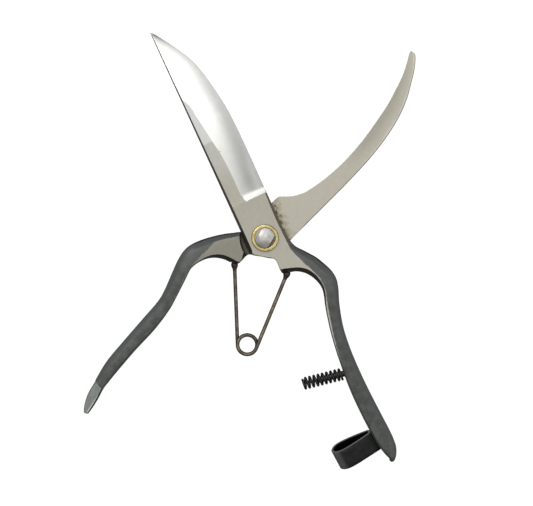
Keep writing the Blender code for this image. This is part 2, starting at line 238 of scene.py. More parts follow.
# ========materials
WARM_STEEL = (1.0, 0.95, 0.80)
COOL_STEEL = (1.0, 1.0, 0.96)
# Steep walls of the ground steel, painted as shaded copies, with a lit one for walls turned to +X.
SHADED_GROUND_WALL = (0.070, 0.067, 0.053)
LIT_GROUND_WALL = (0.150, 0.142, 0.110)
SHADED_HOOK_WALL = (0.24, 0.23, 0.20)
BLACK_SKIN = (0.033, 0.036, 0.031)
BLACK_SKIN_PALE = (0.060, 0.063, 0.058)
# Pale flecks of the black skin, also its painted highlight.
BLACK_SKIN_FLECK_AND_HIGHLIGHT = (0.112, 0.119, 0.117)
BLACK_SKIN_SHADE = (0.028, 0.029, 0.024)
PAINTED_SHADOW_BLACK = (0.010, 0.008, 0.005)
# Painted shadow on the web by its walls, and olive grime darkened by painted recess shade.
WEB_SHADOW = (0.006, 0.005, 0.003)
WEB_GRIME_AND_SHADE = (0.085, 0.080, 0.055)
STAIN = (0.24, 0.21, 0.13)
DARK_STAIN_AND_SHADOW = (0.045, 0.035, 0.018)
TIP_FACET = (0.140, 0.160, 0.152)
# Pale streaks on the tip facet, and the painted highlight along its inner edge.
TIP_STREAK_AND_HIGHLIGHT = (0.46, 0.46, 0.41)


def web_grime_and_shadow(n, spot, patch):
    """The web under the other cheek: painted shadow, black at the shoulder and at that cheek's open place,
    and olive grime with painted shade between.
    """
    squares = n.plus(n.times(spot["X"], spot["X"]), n.times(spot["Y"], spot["Y"]))
    from_shoulder = n.minus(LAP_RADIUS, n.math("SQRT", squares))
    across = n.plus(n.times(spot["X"], ACROSS_CUTTING[0]), n.times(spot["Y"], ACROSS_CUTTING[1]))
    away = n.math("MINIMUM", from_shoulder, n.minus(SPINE_X, across))
    return n.mix(n.step(n.plus(away, n.swing(patch, 0.4)), 0.3, 0.9), WEB_SHADOW, WEB_GRIME_AND_SHADE)


def forged_steel(name, place):
    """Ground bright where the mesh says so, black forge skin elsewhere."""
    n = Finish(name, place)
    plain = n.coordinates()
    along = n.coordinates((1.0, 0.05, 1.0))
    mottle = n.noise(plain, 0.30, 4)
    patch = n.noise(plain, 0.9, 5, 0.65)
    cloud = n.noise(plain, 0.45, 3)
    grain = n.noise(plain, 4.5, 3, 0.7)
    pits = n.noise(plain, 1.7, 2, 0.6)
    brush = n.noise(along, 4.0, 4, 0.7)
    fine_brush = n.noise(along, 14.0, 2, 0.6)
    spot = n.split(plain)
    normal = n.own_normal()
    wall = n.attribute("wall")
    grime_and_shade = n.attribute("grime_and_shade")
    root = n.attribute("root")

    softness = n.attribute("soft")
    edge = n.plus(n.attribute("polish"), n.times(n.swing(patch, 1.6), softness))
    polished = n.step(edge, n.times(softness, -1.0), softness)
    polished = n.times(polished, n.minus(1.0, n.math("MAXIMUM", wall, grime_and_shade)), clamp=True)

    tone = n.times(n.attribute("tone"), n.plus(1.0, n.swing(brush, 0.10)))
    tone = n.times(tone, n.plus(1.0, n.swing(grain, 0.05)))
    tone = n.times(tone, n.plus(1.0, n.swing(cloud, 0.06)))
    satin = n.mix(tone, (0.0, 0.0, 0.0), n.mix(n.attribute("cool"), WARM_STEEL, COOL_STEEL))
    # Olive stain by the other cheek, and next to its edge a dark band of stain and painted shadow of that
    # cheek.
    stain_edge = n.plus(n.attribute("stain_and_shadow"), n.swing(n.noise(plain, 0.5, 2), 2.6))
    satin = n.mix(n.times(n.step(stain_edge, 0.0, 1.6), 0.60), satin, STAIN)
    satin = n.mix(n.times(n.step(stain_edge, 1.5, 2.6), 0.85), satin, DARK_STAIN_AND_SHADOW)

    black = n.mix(n.step(mottle, 0.38, 0.66), BLACK_SKIN, BLACK_SKIN_PALE)
    black = n.mix(n.step(pits, 0.40, 0.75, 0.0, 0.30), black, BLACK_SKIN_FLECK_AND_HIGHLIGHT)
    black = n.mix(n.step(grain, 0.45, 0.85, 0.0, 0.35), black, BLACK_SKIN_FLECK_AND_HIGHLIGHT)
    # Painted light and shade by facing: a lit rim on sides turned to +X, painted shade on sides turned to -X,
    # and a lit rim again on the steepest -X walls.
    black = n.mix(n.step(normal["X"], 0.20, 0.85, 0.0, 0.90), black, BLACK_SKIN_FLECK_AND_HIGHLIGHT)
    black = n.mix(n.step(normal["X"], -0.12, -0.55, 0.0, 0.60), black, BLACK_SKIN_SHADE)
    black = n.mix(n.step(normal["X"], -0.72, -0.92, 0.0, 0.80), black, BLACK_SKIN_FLECK_AND_HIGHLIGHT)
    # Painted highlight: paler towards the handle's root.
    black = n.mix(n.times(root, 0.42), black, BLACK_SKIN_FLECK_AND_HIGHLIGHT)
    # Painted shadow: a near-black line along the walls turned to +X at mid thickness, by the root.
    outline = n.times(n.step(n.math("ABSOLUTE", spot["Z"]), 2.4, 1.3), n.step(normal["X"], 0.3, 0.6))
    black = n.mix(n.times(outline, root), black, PAINTED_SHADOW_BLACK)
    # Painted shade: the inner walls by the root go near-black.
    inner_wall = n.times(n.times(n.attribute("inside"), n.step(normal["X"], 0.1, -0.2)), wall)
    black = n.mix(inner_wall, black, n.mix(n.step(cloud, 0.45, 0.8), PAINTED_SHADOW_BLACK, BLACK_SKIN_SHADE))
    # Painted shade on the steep ground walls: dark olive, painted lighter on sides turned to +X, and paler on
    # the hook.
    ground = n.mix(n.step(normal["X"], 0.0, 0.4), SHADED_GROUND_WALL, LIT_GROUND_WALL)
    ground = n.mix(n.attribute("hook"), ground, SHADED_HOOK_WALL)
    black = n.mix(n.times(n.attribute("ground_wall"), wall), black, ground)
    # The web and the sockets: grime with painted shadow and shade.
    black = n.mix(grime_and_shade, black, web_grime_and_shadow(n, spot, patch))

    on_facet = n.step(n.plus(n.attribute("facet"), n.swing(grain, 0.15)), -0.1, 0.1)
    facet = n.mix(n.step(brush, 0.3, 0.7, 0.0, 0.3), TIP_FACET, TIP_STREAK_AND_HIGHLIGHT)
    # Painted highlight: a bright line along the facet's inner edge.
    facet = n.mix(n.attribute("facet_highlight"), facet, TIP_STREAK_AND_HIGHLIGHT)
    facet = n.mix(n.times(wall, n.step(normal["X"], 0.0, -0.3)), facet, BLACK_SKIN)

    rough_black = n.step(grain, 0.2, 0.8, 0.42, 0.58)
    rough_bright = n.step(fine_brush, 0.2, 0.8, 0.30, 0.42)
    # The lip's painted highlight is less metallic, so its bright colour shows.
    metal = n.times(n.blend(polished, 0.35, 1.0), n.minus(1.0, n.attribute("lip_highlight")))
    n.set(
        Base_Color=n.mix(on_facet, n.mix(polished, black, satin), facet),
        Metallic=metal,
        Roughness=n.blend(polished, rough_black, rough_bright),
    )
    height = n.blend(polished, n.plus(n.times(grain, 0.6), patch), n.times(brush, 0.10))
    n.bump(height, 0.00006, 0.5)
    return n.material


def hammered_steel():
    """The pivot head and nut: satin, with a painted highlight towards +Y, and faint streaks and dents."""
    n = Finish("hammered_steel")
    plain = n.coordinates()
    place = n.split(plain)
    dents = n.noise(plain, 0.42, 1)
    streaks = n.noise(n.coordinates((1.0, 0.22, 1.0)), 1.3, 2)
    grain = n.noise(plain, 5.0, 3)
    # Painted highlight: brighter towards +Y.
    level = n.step(place["Y"], -3.5, 3.6, 0.0, 0.75)
    level = n.plus(level, n.plus(n.swing(dents, 0.35), n.swing(streaks, 0.45)), clamp=True)
    steel = n.mix(level, (0.36, 0.35, 0.325), (0.57, 0.56, 0.53))
    steel = n.mix(n.attribute("shade"), steel, (0.085, 0.070, 0.042))
    n.set(Base_Color=steel, Metallic=1.0, Roughness=n.step(grain, 0.2, 0.8, 0.44, 0.56))
    n.bump(n.plus(dents, n.times(streaks, 0.2)), 0.0002, 0.30)
    return n.material


def brass():
    n = Finish("brass")
    plain = n.coordinates()
    tarnish = n.noise(plain, 0.6, 3)
    scratch = n.noise(plain, 7.0, 2)
    normal = n.own_normal()
    colour = n.mix(n.step(tarnish, 0.35, 0.70), (0.60, 0.50, 0.24), (0.42, 0.33, 0.11))
    # Painted shade: darker where the surface turns away from +Z.
    colour = n.mix(n.step(normal["Z"], 0.85, 0.30), colour, (0.22, 0.155, 0.045))
    n.set(Base_Color=colour, Metallic=1.0, Roughness=n.step(scratch, 0.2, 0.8, 0.30, 0.42))
    n.bump(scratch, 0.00001, 0.3)
    return n.material


def brown_wire():
    """Oil-blackened spring wire, with painted brown highlights on the faces turned up and down."""
    n = Finish("brown_wire")
    plain = n.coordinates()
    patches = n.noise(plain, 0.35, 4)
    grain = n.noise(plain, 6.0, 2)
    normal = n.own_normal()
    # Painted highlight: faces turned up and down take the brown, the sides keep the dark wire.
    facing = n.plus(n.math("ABSOLUTE", normal["Z"]), n.swing(grain, 0.1))
    facing = n.times(n.step(facing, 0.45, 0.97), n.minus(1.0, n.attribute("foot")))
    painted_highlight_brown = n.mix(n.step(patches, 0.42, 0.68), (0.078, 0.070, 0.052), (0.180, 0.134, 0.098))
    dark = n.mix(n.attribute("foot"), (0.016, 0.012, 0.007), (0.046, 0.037, 0.026))
    n.set(
        Base_Color=n.mix(facing, dark, painted_highlight_brown),
        Metallic=0.8,
        Roughness=n.step(grain, 0.2, 0.8, 0.30, 0.44),
    )
    n.bump(grain, 0.00003, 0.5)
    return n.material


def black_wire():
    n = Finish("black_wire")
    plain = n.coordinates()
    patches = n.noise(plain, 1.2, 3)
    colour = n.mix(patches, (0.004, 0.0045, 0.004), (0.014, 0.015, 0.014))
    n.set(Base_Color=colour, Metallic=0.4, Roughness=n.step(patches, 0.3, 0.7, 0.24, 0.40))
    n.bump(patches, 0.00003, 0.4)
    return n.material


def black_leather():
    """A grained black strap, whose cut edges are painted paler as a highlight."""
    n = Finish("black_leather")
    plain = n.coordinates()
    cells = n.add("TexVoronoi")
    cells.feature = "DISTANCE_TO_EDGE"
    cells.inputs["Scale"].default_value = 1.9
    n.link(plain, cells.inputs["Vector"])
    pores = n.step(cells.outputs["Distance"], 0.0, 0.25)
    cloud = n.noise(plain, 0.4, 3)
    fibre = n.noise(n.coordinates((1.0, 0.3, 1.0)), 6.0, 3)
    face = n.mix(n.step(cloud, 0.35, 0.7), (0.0060, 0.0062, 0.0062), (0.0140, 0.0145, 0.0150))
    face = n.mix(n.attribute("shadow"), face, (0.0015, 0.0014, 0.0012))
    face = n.mix(n.attribute("fold"), face, (0.085, 0.083, 0.078))
    face = n.mix(n.attribute("lining"), face, (0.0012, 0.0011, 0.0008))
    n.set(
        Base_Color=n.mix(n.attribute("edge_highlight"), face, (0.125, 0.128, 0.125)),
        Roughness=n.blend(pores, 0.72, 0.55),
    )
    n.link(n.blend(n.attribute("lining"), 0.26, 0.02), n.shader.inputs["Specular IOR Level"])
    n.bump(n.plus(pores, n.times(fibre, 0.6)), 0.00009, 0.5)
    return n.material


def floor_white():
    """White paper. Only the camera sees its full brightness, so it doesn't light the tool from below."""
    n = Finish("floor_white")
    speckle = n.noise(n.coordinates(), 0.5, 3)
    n.set(Base_Color=(0.10, 0.10, 0.10), Roughness=n.step(speckle, 0.3, 0.7, 0.85, 0.95))
    n.set(Emission_Color=(1.0, 1.0, 1.0), Emission_Strength=n.blend(n.camera_ray(), 0.12, 0.97))
    return n.material


# ========mesh helpers
def shade_smooth(mesh, sharp):
    """Smooth shading, with creases of more than sharp degrees kept."""
    mesh.shade_smooth()
    mesh.set_sharp_from_angle(angle=math.radians(sharp))


def make_piece(name, vertices, faces, material, place=Matrix.Identity(4), sharp=30):
    """A named mesh object from points in mm about the pivot."""
    mesh = bpy.data.meshes.new(name)
    mesh.from_pydata([tuple(c * MM for c in v) for v in vertices], [], faces)
    builder = bmesh.new()
    builder.from_mesh(mesh)
    bmesh.ops.recalc_face_normals(builder, faces=builder.faces)
    builder.to_mesh(mesh)
    builder.free()
    shade_smooth(mesh, sharp)
    piece = bpy.data.objects.new(name, mesh)
    bpy.context.scene.collection.objects.link(piece)
    moved = place.copy()
    moved.translation = (place.translation + Vector((0, 0, PIVOT_HEIGHT))) * MM
    piece.matrix_world = moved
    mesh.materials.append(material)
    return piece


def register(piece, body, slot, *nodes):
    """Bake a piece's place, parent it to the empty of the body it rides on, and hide the CAD nodes it stands
    for.
    """
    piece.data.transform(piece.matrix_world)
    piece.matrix_world = Matrix.Identity(4)
    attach(piece, body)
    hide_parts(*nodes)


def around(sides):
    """Evenly spaced angles round a full turn."""
    return [2 * math.pi * k / sides for k in range(sides)]


def ring_faces(rows, columns, wrap_rows=False):
    """Quads between consecutive closed rings."""
    faces = []
    for i in range(rows if wrap_rows else rows - 1):
        for j in range(columns):
            k = (j + 1) % columns
            below, above = i * columns, (i + 1) % rows * columns
            faces.append((below + j, below + k, above + k, above + j))
    return faces


def skin(rings):
    """Vertices and faces of a capped stack of rings."""
    columns = len(rings[0])
    vertices = [point for ring in rings for point in ring]
    faces = ring_faces(len(rings), columns)
    faces.append(tuple(range(columns)))
    faces.append(tuple(range(len(vertices) - columns, len(vertices))))
    return vertices, faces


def prism(outline, low, high):
    return skin([[(x, y, height) for x, y in outline] for height in (low, high)])


def rounded_profile(corners, steps=4):
    """A (radius, height) profile from (radius, height, fillet) corners."""
    points = []
    count = len(corners)
    for i, (r, z, fillet) in enumerate(corners):
        here = Vector((r, z))
        if fillet == 0:
            points.append((r, z))
            continue
        start = here + (Vector(corners[i - 1][:2]) - here).normalized() * fillet
        end = here + (Vector(corners[(i + 1) % count][:2]) - here).normalized() * fillet
        for k in range(steps + 1):
            t = k / steps
            spot = start * (1 - t) ** 2 + here * 2 * t * (1 - t) + end * t ** 2
            points.append((spot.x, spot.y))
    return points


def lathe(profile, sides=96):
    """Spin a profile round Z. Points on the axis become poles."""
    vertices, rows = [], []
    for radius, height in profile:
        turns = [0.0] if radius < 1e-6 else around(sides)
        rows.append(range(len(vertices), len(vertices) + len(turns)))
        vertices += [(radius * math.cos(t), radius * math.sin(t), height) for t in turns]
    pairs = list(zip(rows, rows[1:]))
    if profile[0][0] > 1e-6:
        pairs.append((rows[-1], rows[0]))
    faces = []
    for low, high in pairs:
        for i in range(sides):
            j = (i + 1) % sides
            loop = (low[i % len(low)], low[j % len(low)], high[j % len(high)], high[i % len(high)])
            loop = tuple(dict.fromkeys(loop))
            if len(loop) > 2:
                faces.append(loop)
    return vertices, faces


def tube(path, radius, sides=24):
    """Sweep a round wire along a path, with rounded ends. radius is a number, or one for each point."""
    points = [Vector(p) for p in path]
    radii = list(radius) if isinstance(radius, (list, tuple)) else [radius] * len(points)

    def cap(end, inner, size):
        """Shrinking rings beyond an end, from the first to the last."""
        out = (end - inner).normalized()
        turns = [math.radians(a) for a in (20, 45, 70, 88)]
        return [(end + out * size * math.sin(t), size * math.cos(t)) for t in turns]

    stations = cap(points[0], points[1], radii[0])[::-1]
    stations += list(zip(points, radii))
    stations += cap(points[-1], points[-2], radii[-1])
    turns = around(sides)
    rings = []
    for i, (point, size) in enumerate(stations):
        before, after = stations[max(i - 1, 0)][0], stations[min(i + 1, len(stations) - 1)][0]
        direction = (after - before).normalized()
        side = direction.cross(Vector((0, 0, 1))).normalized()
        up = side.cross(direction).normalized()
        rings.append([point + size * (math.cos(t) * side + math.sin(t) * up) for t in turns])
    return skin(rings)


def catmull(rows, steps):
    """Smooth rows of numbers; steps is a count for each gap."""
    rows = [np.array(row, float) for row in rows]
    padded = [2 * rows[0] - rows[1]] + rows + [2 * rows[-1] - rows[-2]]
    result = []
    for i, count in enumerate(steps):
        a, b, c, d = padded[i:i + 4]
        square = 2 * a - 5 * b + 4 * c - d
        cube = 3 * b - a - 3 * c + d
        for k in range(count):
            t = k / count
            result.append(0.5 * (2 * b + (c - a) * t + square * t**2 + cube * t**3))
    result.append(rows[-1])
    return result


def smooth_outline(points, steps=6):
    """A closed curve through a few points."""
    rows = [points[-1]] + list(points) + [points[0], points[1]]
    rows = catmull(rows, [1] + [steps] * len(points) + [1])
    return [tuple(row) for row in rows[1:-2]]


def signed_distance(points, outline):
    """Distance in mm from each point to a closed outline, positive inside."""
    outline = np.array(outline, float)
    following = np.roll(outline, -1, axis=0)
    best = np.full(len(points), 1e9)
    inside = np.zeros(len(points), bool)
    for start, end in zip(outline, following):
        edge = end - start
        share = np.clip(((points - start) @ edge) / max(edge @ edge, 1e-12), 0, 1)
        best = np.minimum(best, np.linalg.norm(points - start - share[:, None] * edge, axis=1))
        crosses = (start[1] > points[:, 1]) != (end[1] > points[:, 1])
        rise = end[1] - start[1] if abs(end[1] - start[1]) > 1e-12 else 1e-12
        reach = start[0] + (points[:, 1] - start[1]) * edge[0] / rise
        inside ^= crosses & (points[:, 0] < reach)
    return np.where(inside, best, -best)


def smooth_step(values, low, high):
    t = np.clip((values - low) / (high - low), 0, 1)
    return t * t * (3 - 2 * t)


def along_curve(curve, values):
    """Read a piecewise line of (input, output) pairs."""
    pairs = sorted(curve)
    return np.interp(values, [a for a, _ in pairs], [b for _, b in pairs])


def vertex_places(piece):
    """Vertex positions in mm, in the piece's own axes."""
    spots = np.empty(len(piece.data.vertices) * 3, np.float32)
    piece.data.vertices.foreach_get("co", spots)
    return spots.reshape(-1, 3).astype(float) / MM


def face_places(piece):
    """Face centres in mm, and face normals."""
    found = []
    for quantity in ("center", "normal"):
        numbers = np.empty(len(piece.data.polygons) * 3, np.float32)
        piece.data.polygons.foreach_get(quantity, numbers)
        found.append(numbers.reshape(-1, 3).astype(float))
    return found[0] / MM, found[1]


def store(piece, name, values, domain="POINT"):
    layer = piece.data.attributes.new(name, "FLOAT", domain)
    layer.data.foreach_set("value", np.asarray(values, np.float32))


def subtract(piece, solids):
    """Cut solids out of a piece, for good."""
    for number, (vertices, faces) in enumerate(solids):
        cutter = make_piece(f"cutter_{number}", vertices, faces, piece.data.materials[0])
        cutter.matrix_world = piece.matrix_world
        modifier = piece.modifiers.new("cut", "BOOLEAN")
        modifier.operation = "DIFFERENCE"
        modifier.solver = "EXACT"
        modifier.object = cutter
        bpy.context.view_layer.update()
        evaluated = piece.evaluated_get(bpy.context.evaluated_depsgraph_get())
        finished = bpy.data.meshes.new_from_object(evaluated)
        piece.modifiers.clear()
        piece.data = finished
        bpy.data.objects.remove(cutter, do_unlink=True)


# ========forged halves: sections
# One side of the bar's section: flat height, left wall (width, drop, roundness),
# ramp (width from the right side, drop, linear share), right wall (width, drop, roundness).
def profile(height, left, ramp, right):
    return [height, *left, *ramp, *right]


def side_heights(values, width, spots):
    """Height of one side of the section at distances from the bar's left side."""
    height, left_w, left_drop, left_round = values[:4]
    ramp_w, ramp_drop, ramp_line, right_w, right_drop, right_round = values[4:]

    def wall(t, roundness):
        t = np.clip(t, 0, 1)
        return (1 - roundness) * t + roundness * (1 - np.sqrt(np.maximum(0, 1 - t * t)))

    level = np.full(len(spots), height)
    level -= left_drop * wall((left_w - spots) / left_w, left_round)
    ramp_start = width - ramp_w
    t = np.clip((spots - ramp_start) / max(ramp_w - right_w, 1e-6), 0, 1)
    level -= ramp_drop * (ramp_line * t + (1 - ramp_line) * t * t)
    level -= right_drop * wall((spots - (width - right_w)) / right_w, right_round)
    return level


WALL_COLUMNS, FLAT_COLUMNS, RAMP_COLUMNS = 8, 14, 20


def column_spots(values, width):
    """Where the section is sampled, so that its creases fall on columns."""
    left_w, ramp_w, right_w = values[1], values[4], values[7]
    ramp_start = min(max(width - ramp_w, left_w + 0.02), width - right_w - 0.02)
    turn = np.linspace(0, math.pi / 2, WALL_COLUMNS + 1)
    parts = [
        left_w * (1 - np.cos(turn))[:-1],
        np.linspace(left_w, ramp_start, FLAT_COLUMNS + 1)[:-1],
        np.linspace(ramp_start, width - right_w, RAMP_COLUMNS + 1)[:-1],
        width - right_w + right_w * np.sin(turn),
    ]
    return np.concatenate(parts)


def half_ring(row):
    """One closed section: over the face from left to right, and back underneath."""
    left, right = row[0:2], row[2:4]
    face, under = row[4:14], row[14:24]
    span = right - left
    width = float(np.hypot(*span))
    across = span / width
    top_spots = column_spots(face, width)
    low_spots = column_spots(under, width)
    top = side_heights(face, width, top_spots)
    low = side_heights(under, width, low_spots)
    points = [(*(left + across * d), z) for d, z in zip(top_spots, top)]
    points += [(*(left + across * d), -z) for d, z in zip(low_spots[::-1], low[::-1])]
    return points


NO_RAMP = (1.0, 0, 1)
SLIDE_CORNER = (0.12, 0.10, 1)
SLIDE = profile(-LAP, SLIDE_CORNER, NO_RAMP, SLIDE_CORNER)    # the flat that runs on the other half


def blade_rows():
    """Cutting blade, tip to cheek: height, cutting edge x, thickness, spine wall, bevel width."""
    shape = [
        (97.3, -7.85, 1.15, 0.10, 0.12),
        (95.9, -6.50, 1.45, 0.30, 1.25),
        (93.4, -4.85, 1.75, 0.36, 2.85),
        (89.7, -2.50, 2.10, 0.42, 5.15),
        (85.4, 0.05, 2.40, 0.45, 7.60),
        (80.0, 2.80, 2.70, 0.48, 10.25),
        (74.6, 4.60, 2.92, 0.50, 12.00),
        (69.6, 5.70, 3.10, 0.55, 13.05),
        (64.6, 6.60, 3.28, 0.60, 12.95),
        (59.7, 7.40, 3.44, 0.65, 12.75),
        (54.8, 7.95, 3.60, 0.70, 12.35),
        (47.0, 8.32, 3.82, 0.75, 11.60),
        (38.0, 8.45, 4.05, 0.85, 10.40),
        (29.0, 8.45, 4.28, 0.95, 9.95),
        (20.5, 8.42, 4.48, 1.05, 10.0),
        (18.4, 8.42, 4.54, 1.08, 9.95),
    ]
    spine_share, bevel_line = 0.82, 0.62
    edge_wide, edge_drop, edge_land = 0.10, 0.12, 0.16
    rows = []
    for height, edge_x, thick, spine, bevel in shape:
        spine_wall = (spine, (thick - LAP) * spine_share, 0.0)
        ramp = (bevel, thick - LAP - edge_drop - edge_land, bevel_line)
        face = profile(thick, spine_wall, ramp, (edge_wide, edge_drop, 0.0))
        rows.append([SPINE_X, height, edge_x, height] + face + SLIDE)
    return rows


def cheek_rows():
    """Flat cheek round the pivot: left x, y, right x, y, spine wall, width with close columns, right wall."""
    shape = [
        (SPINE_X, 17.0, CHEEK_RIGHT, 16.9, 1.1, 9.5, 0.7),
        (SPINE_X, 15.6, CHEEK_RIGHT, 15.5, 1.12, 9.0, 0.75),
        (SPINE_X, 10.0, CHEEK_RIGHT, 9.5, 1.15, 8.0, 1.05),
        (SPINE_X, 3.0, CHEEK_RIGHT, 5.0, 1.15, 7.0, 1.15),
        (SPINE_X, -2.6, CHEEK_RIGHT, 2.2, 1.15, 6.0, 1.15),
        (-7.75, -4.2, 8.5, 1.2, 0.6, 6.0, 1.15),
        (-4.0, -6.75, 8.55, -1.5, 0.28, 5.0, 1.2),
        (-0.9, -8.85, 8.75, -3.6, 0.22, 4.0, 1.3),
    ]
    drop = (LAYER - LAP) * 0.85
    rows = []
    for lx, ly, rx, ry, spine, close, wall in shape:
        face = profile(LAYER, (spine, drop, 0.0), (close, 0.0, 1.0), (wall, drop, 0.0))
        rows.append([lx, ly, rx, ry] + face + SLIDE)
    return rows


# Handle rungs: inner x, y, outer x, y, half thickness, width of the inner wall, width and drop of the ramp
# towards the outer side, width of the outer wall.
CUTTING_ROOT = [
    (STOP_X, -10.3, 9.05, -4.8, 4.6, 0.22, 3.0, 0.0, 1.4),
    (STOP_X, -13.4, 9.35, -6.3, 4.6, 0.25, 3.0, 0.0, 1.5),
    (STOP_X, -14.9, 9.6, -7.1, 4.6, 0.6, 3.1, 0.0, 1.6),
    (0.45, -16.2, 9.95, -8.0, 4.6, 2.1, 3.3, 0.05, 1.7),
    (1.5, -17.25, 10.9, -9.4, 4.6, 2.9, 3.7, 0.05, 1.8),
    (4.0, -17.35, 12.5, -11.3, 4.6, 2.2, 4.3, 0.1, 2.0),
    (6.5, -18.2, 14.2, -13.5, 4.6, 2.0, 5.0, 0.15, 2.2),
    (9.1, -20.1, 16.1, -16.1, 4.58, 1.9, 5.5, 0.2, 2.4),
    (11.1, -22.8, 18.0, -19.9, 4.55, 1.65, 5.8, 0.3, 2.6),
    (12.4, -25.9, 19.6, -23.9, 4.5, 1.25, 5.9, 0.4, 2.8),
    (12.85, -28.9, 19.95, -28.0, 4.45, 0.95, 5.6, 0.4, 2.9),
    (12.3, -32.0, 18.8, -32.4, 4.4, 0.75, 4.9, 0.3, 2.9),
    (10.9, -36.5, 16.9, -37.4, 4.3, 0.5, 4.4, 0.25, 2.8),
]
COUNTER_ROOT = [
    (STOP_X, -10.3, 9.0, -5.2, 4.6, 0.22, 3.0, 0.0, 1.4),
    (STOP_X, -13.4, 9.75, -6.15, 4.6, 0.25, 3.0, 0.0, 1.6),
    (STOP_X, -14.9, 10.25, -6.8, 4.6, 0.6, 3.1, 0.0, 1.8),
    (0.4, -16.2, 10.75, -7.5, 4.6, 1.75, 3.3, 0.05, 1.9),
    (1.4, -17.0, 11.9, -8.9, 4.6, 2.4, 3.7, 0.05, 2.0),
    (3.6, -17.5, 13.2, -10.6, 4.6, 2.2, 4.3, 0.05, 2.1),
    (6.2, -18.5, 15.0, -13.3, 4.6, 1.95, 5.0, 0.05, 2.3),
    (8.9, -20.4, 17.0, -16.7, 4.58, 1.4, 5.4, 0.1, 2.5),
    (11.0, -23.0, 18.8, -20.4, 4.55, 0.85, 5.7, 0.3, 2.7),
    (12.3, -26.1, 20.1, -24.3, 4.5, 0.5, 5.9, 0.4, 2.8),
    (12.85, -28.9, 20.2, -28.0, 4.45, 0.38, 5.7, 0.4, 2.9),
    (12.7, -31.6, 19.2, -32.3, 4.4, 0.35, 5.0, 0.3, 2.9),
    (11.2, -36.0, 17.5, -36.9, 4.3, 0.35, 4.5, 0.25, 2.8),
]
CUTTING_HANDLE = [
    (9.05, -44.5, 14.75, -45.0, 4.15, 0.45, 4.2, 0.2, 2.7),
    (7.85, -51.5, 13.65, -51.8, 4.05, 0.45, 4.2, 0.2, 2.7),
    (6.85, -60.0, 13.05, -60.2, 4.0, 0.6, 4.4, 0.2, 2.8),
    (5.95, -72.0, 13.0, -72.0, 3.9, 0.8, 5.0, 0.2, 3.0),
    (6.0, -84.0, 13.5, -84.0, 3.8, 0.8, 5.3, 0.2, 3.1),
    (6.7, -95.0, 14.05, -94.4, 3.65, 0.8, 5.2, 0.2, 3.1),
    (7.6, -100.3, 13.85, -100.4, 3.4, 0.8, 4.6, 0.2, 2.9),
    (8.45, -103.3, 12.95, -103.3, 3.0, 0.8, 3.4, 0.2, 2.2),
    (8.95, -104.6, 12.3, -104.5, 2.8, 0.8, 2.4, 0.1, 1.5),
    (8.75, -105.5, 11.6, -105.5, 2.5, 0.8, 2.0, 0.1, 1.2),
    (9.15, -106.35, 10.75, -106.35, 2.0, 0.5, 1.0, 0.1, 0.7),
    (9.6, -106.55, 10.3, -106.55, 1.6, 0.2, 0.5, 0.05, 0.3),
]
COUNTER_HANDLE = [
    (8.45, -44.6, 14.4, -44.9, 4.15, 0.45, 4.2, 0.2, 2.7),
    (7.0, -50.0, 13.1, -50.2, 4.05, 0.55, 4.2, 0.2, 2.7),
    (5.75, -59.4, 12.4, -60.2, 4.0, 0.8, 4.4, 0.2, 2.8),
    (5.35, -71.0, 11.65, -71.4, 3.9, 0.9, 4.5, 0.2, 2.8),
    (4.6, -81.6, 10.7, -82.4, 3.75, 0.9, 4.3, 0.2, 2.7),
    (3.75, -90.2, 8.85, -90.2, 3.5, 0.7, 3.6, 0.2, 2.3),
    (3.45, -91.9, 8.25, -91.9, 3.4, 0.7, 3.2, 0.15, 1.6),
    (3.2, -92.9, 7.95, -92.9, 3.2, 0.7, 3.0, 0.15, 0.6),
    (2.0, -96.8, 6.8, -97.4, 2.65, 0.7, 2.6, 0.1, 0.5),
    (1.2, -100.4, 5.0, -101.2, 2.15, 0.6, 2.0, 0.1, 0.4),
    (0.75, -103.2, 2.7, -104.3, 1.7, 0.35, 1.0, 0.05, 0.25),
    (0.8, -103.7, 2.0, -104.5, 1.4, 0.2, 0.6, 0.05, 0.2),
]


INNER_ROOT_END = -29.5       # where the handle's inner and outer walls turn from square to round
OUTER_ROOT_END = -24


def handle_rows(shape):
    """Rungs from the tables above, the same above and below."""
    rows = []
    for lx, ly, rx, ry, thick, inner, ramp, drop, outer in shape:
        inner_share, inner_round = (0.84, 0.05) if ly > INNER_ROOT_END else (0.60, 0.6)
        outer_round = 0.1 if ly > OUTER_ROOT_END else 0.75
        inner_wall = (inner, thick * inner_share, inner_round)
        outer_wall = (outer, thick * 0.80 - drop, outer_round)
        side = profile(thick, inner_wall, (ramp, drop, 0.3), outer_wall)
        rows.append([lx, ly, rx, ry] + side + side)
    return rows


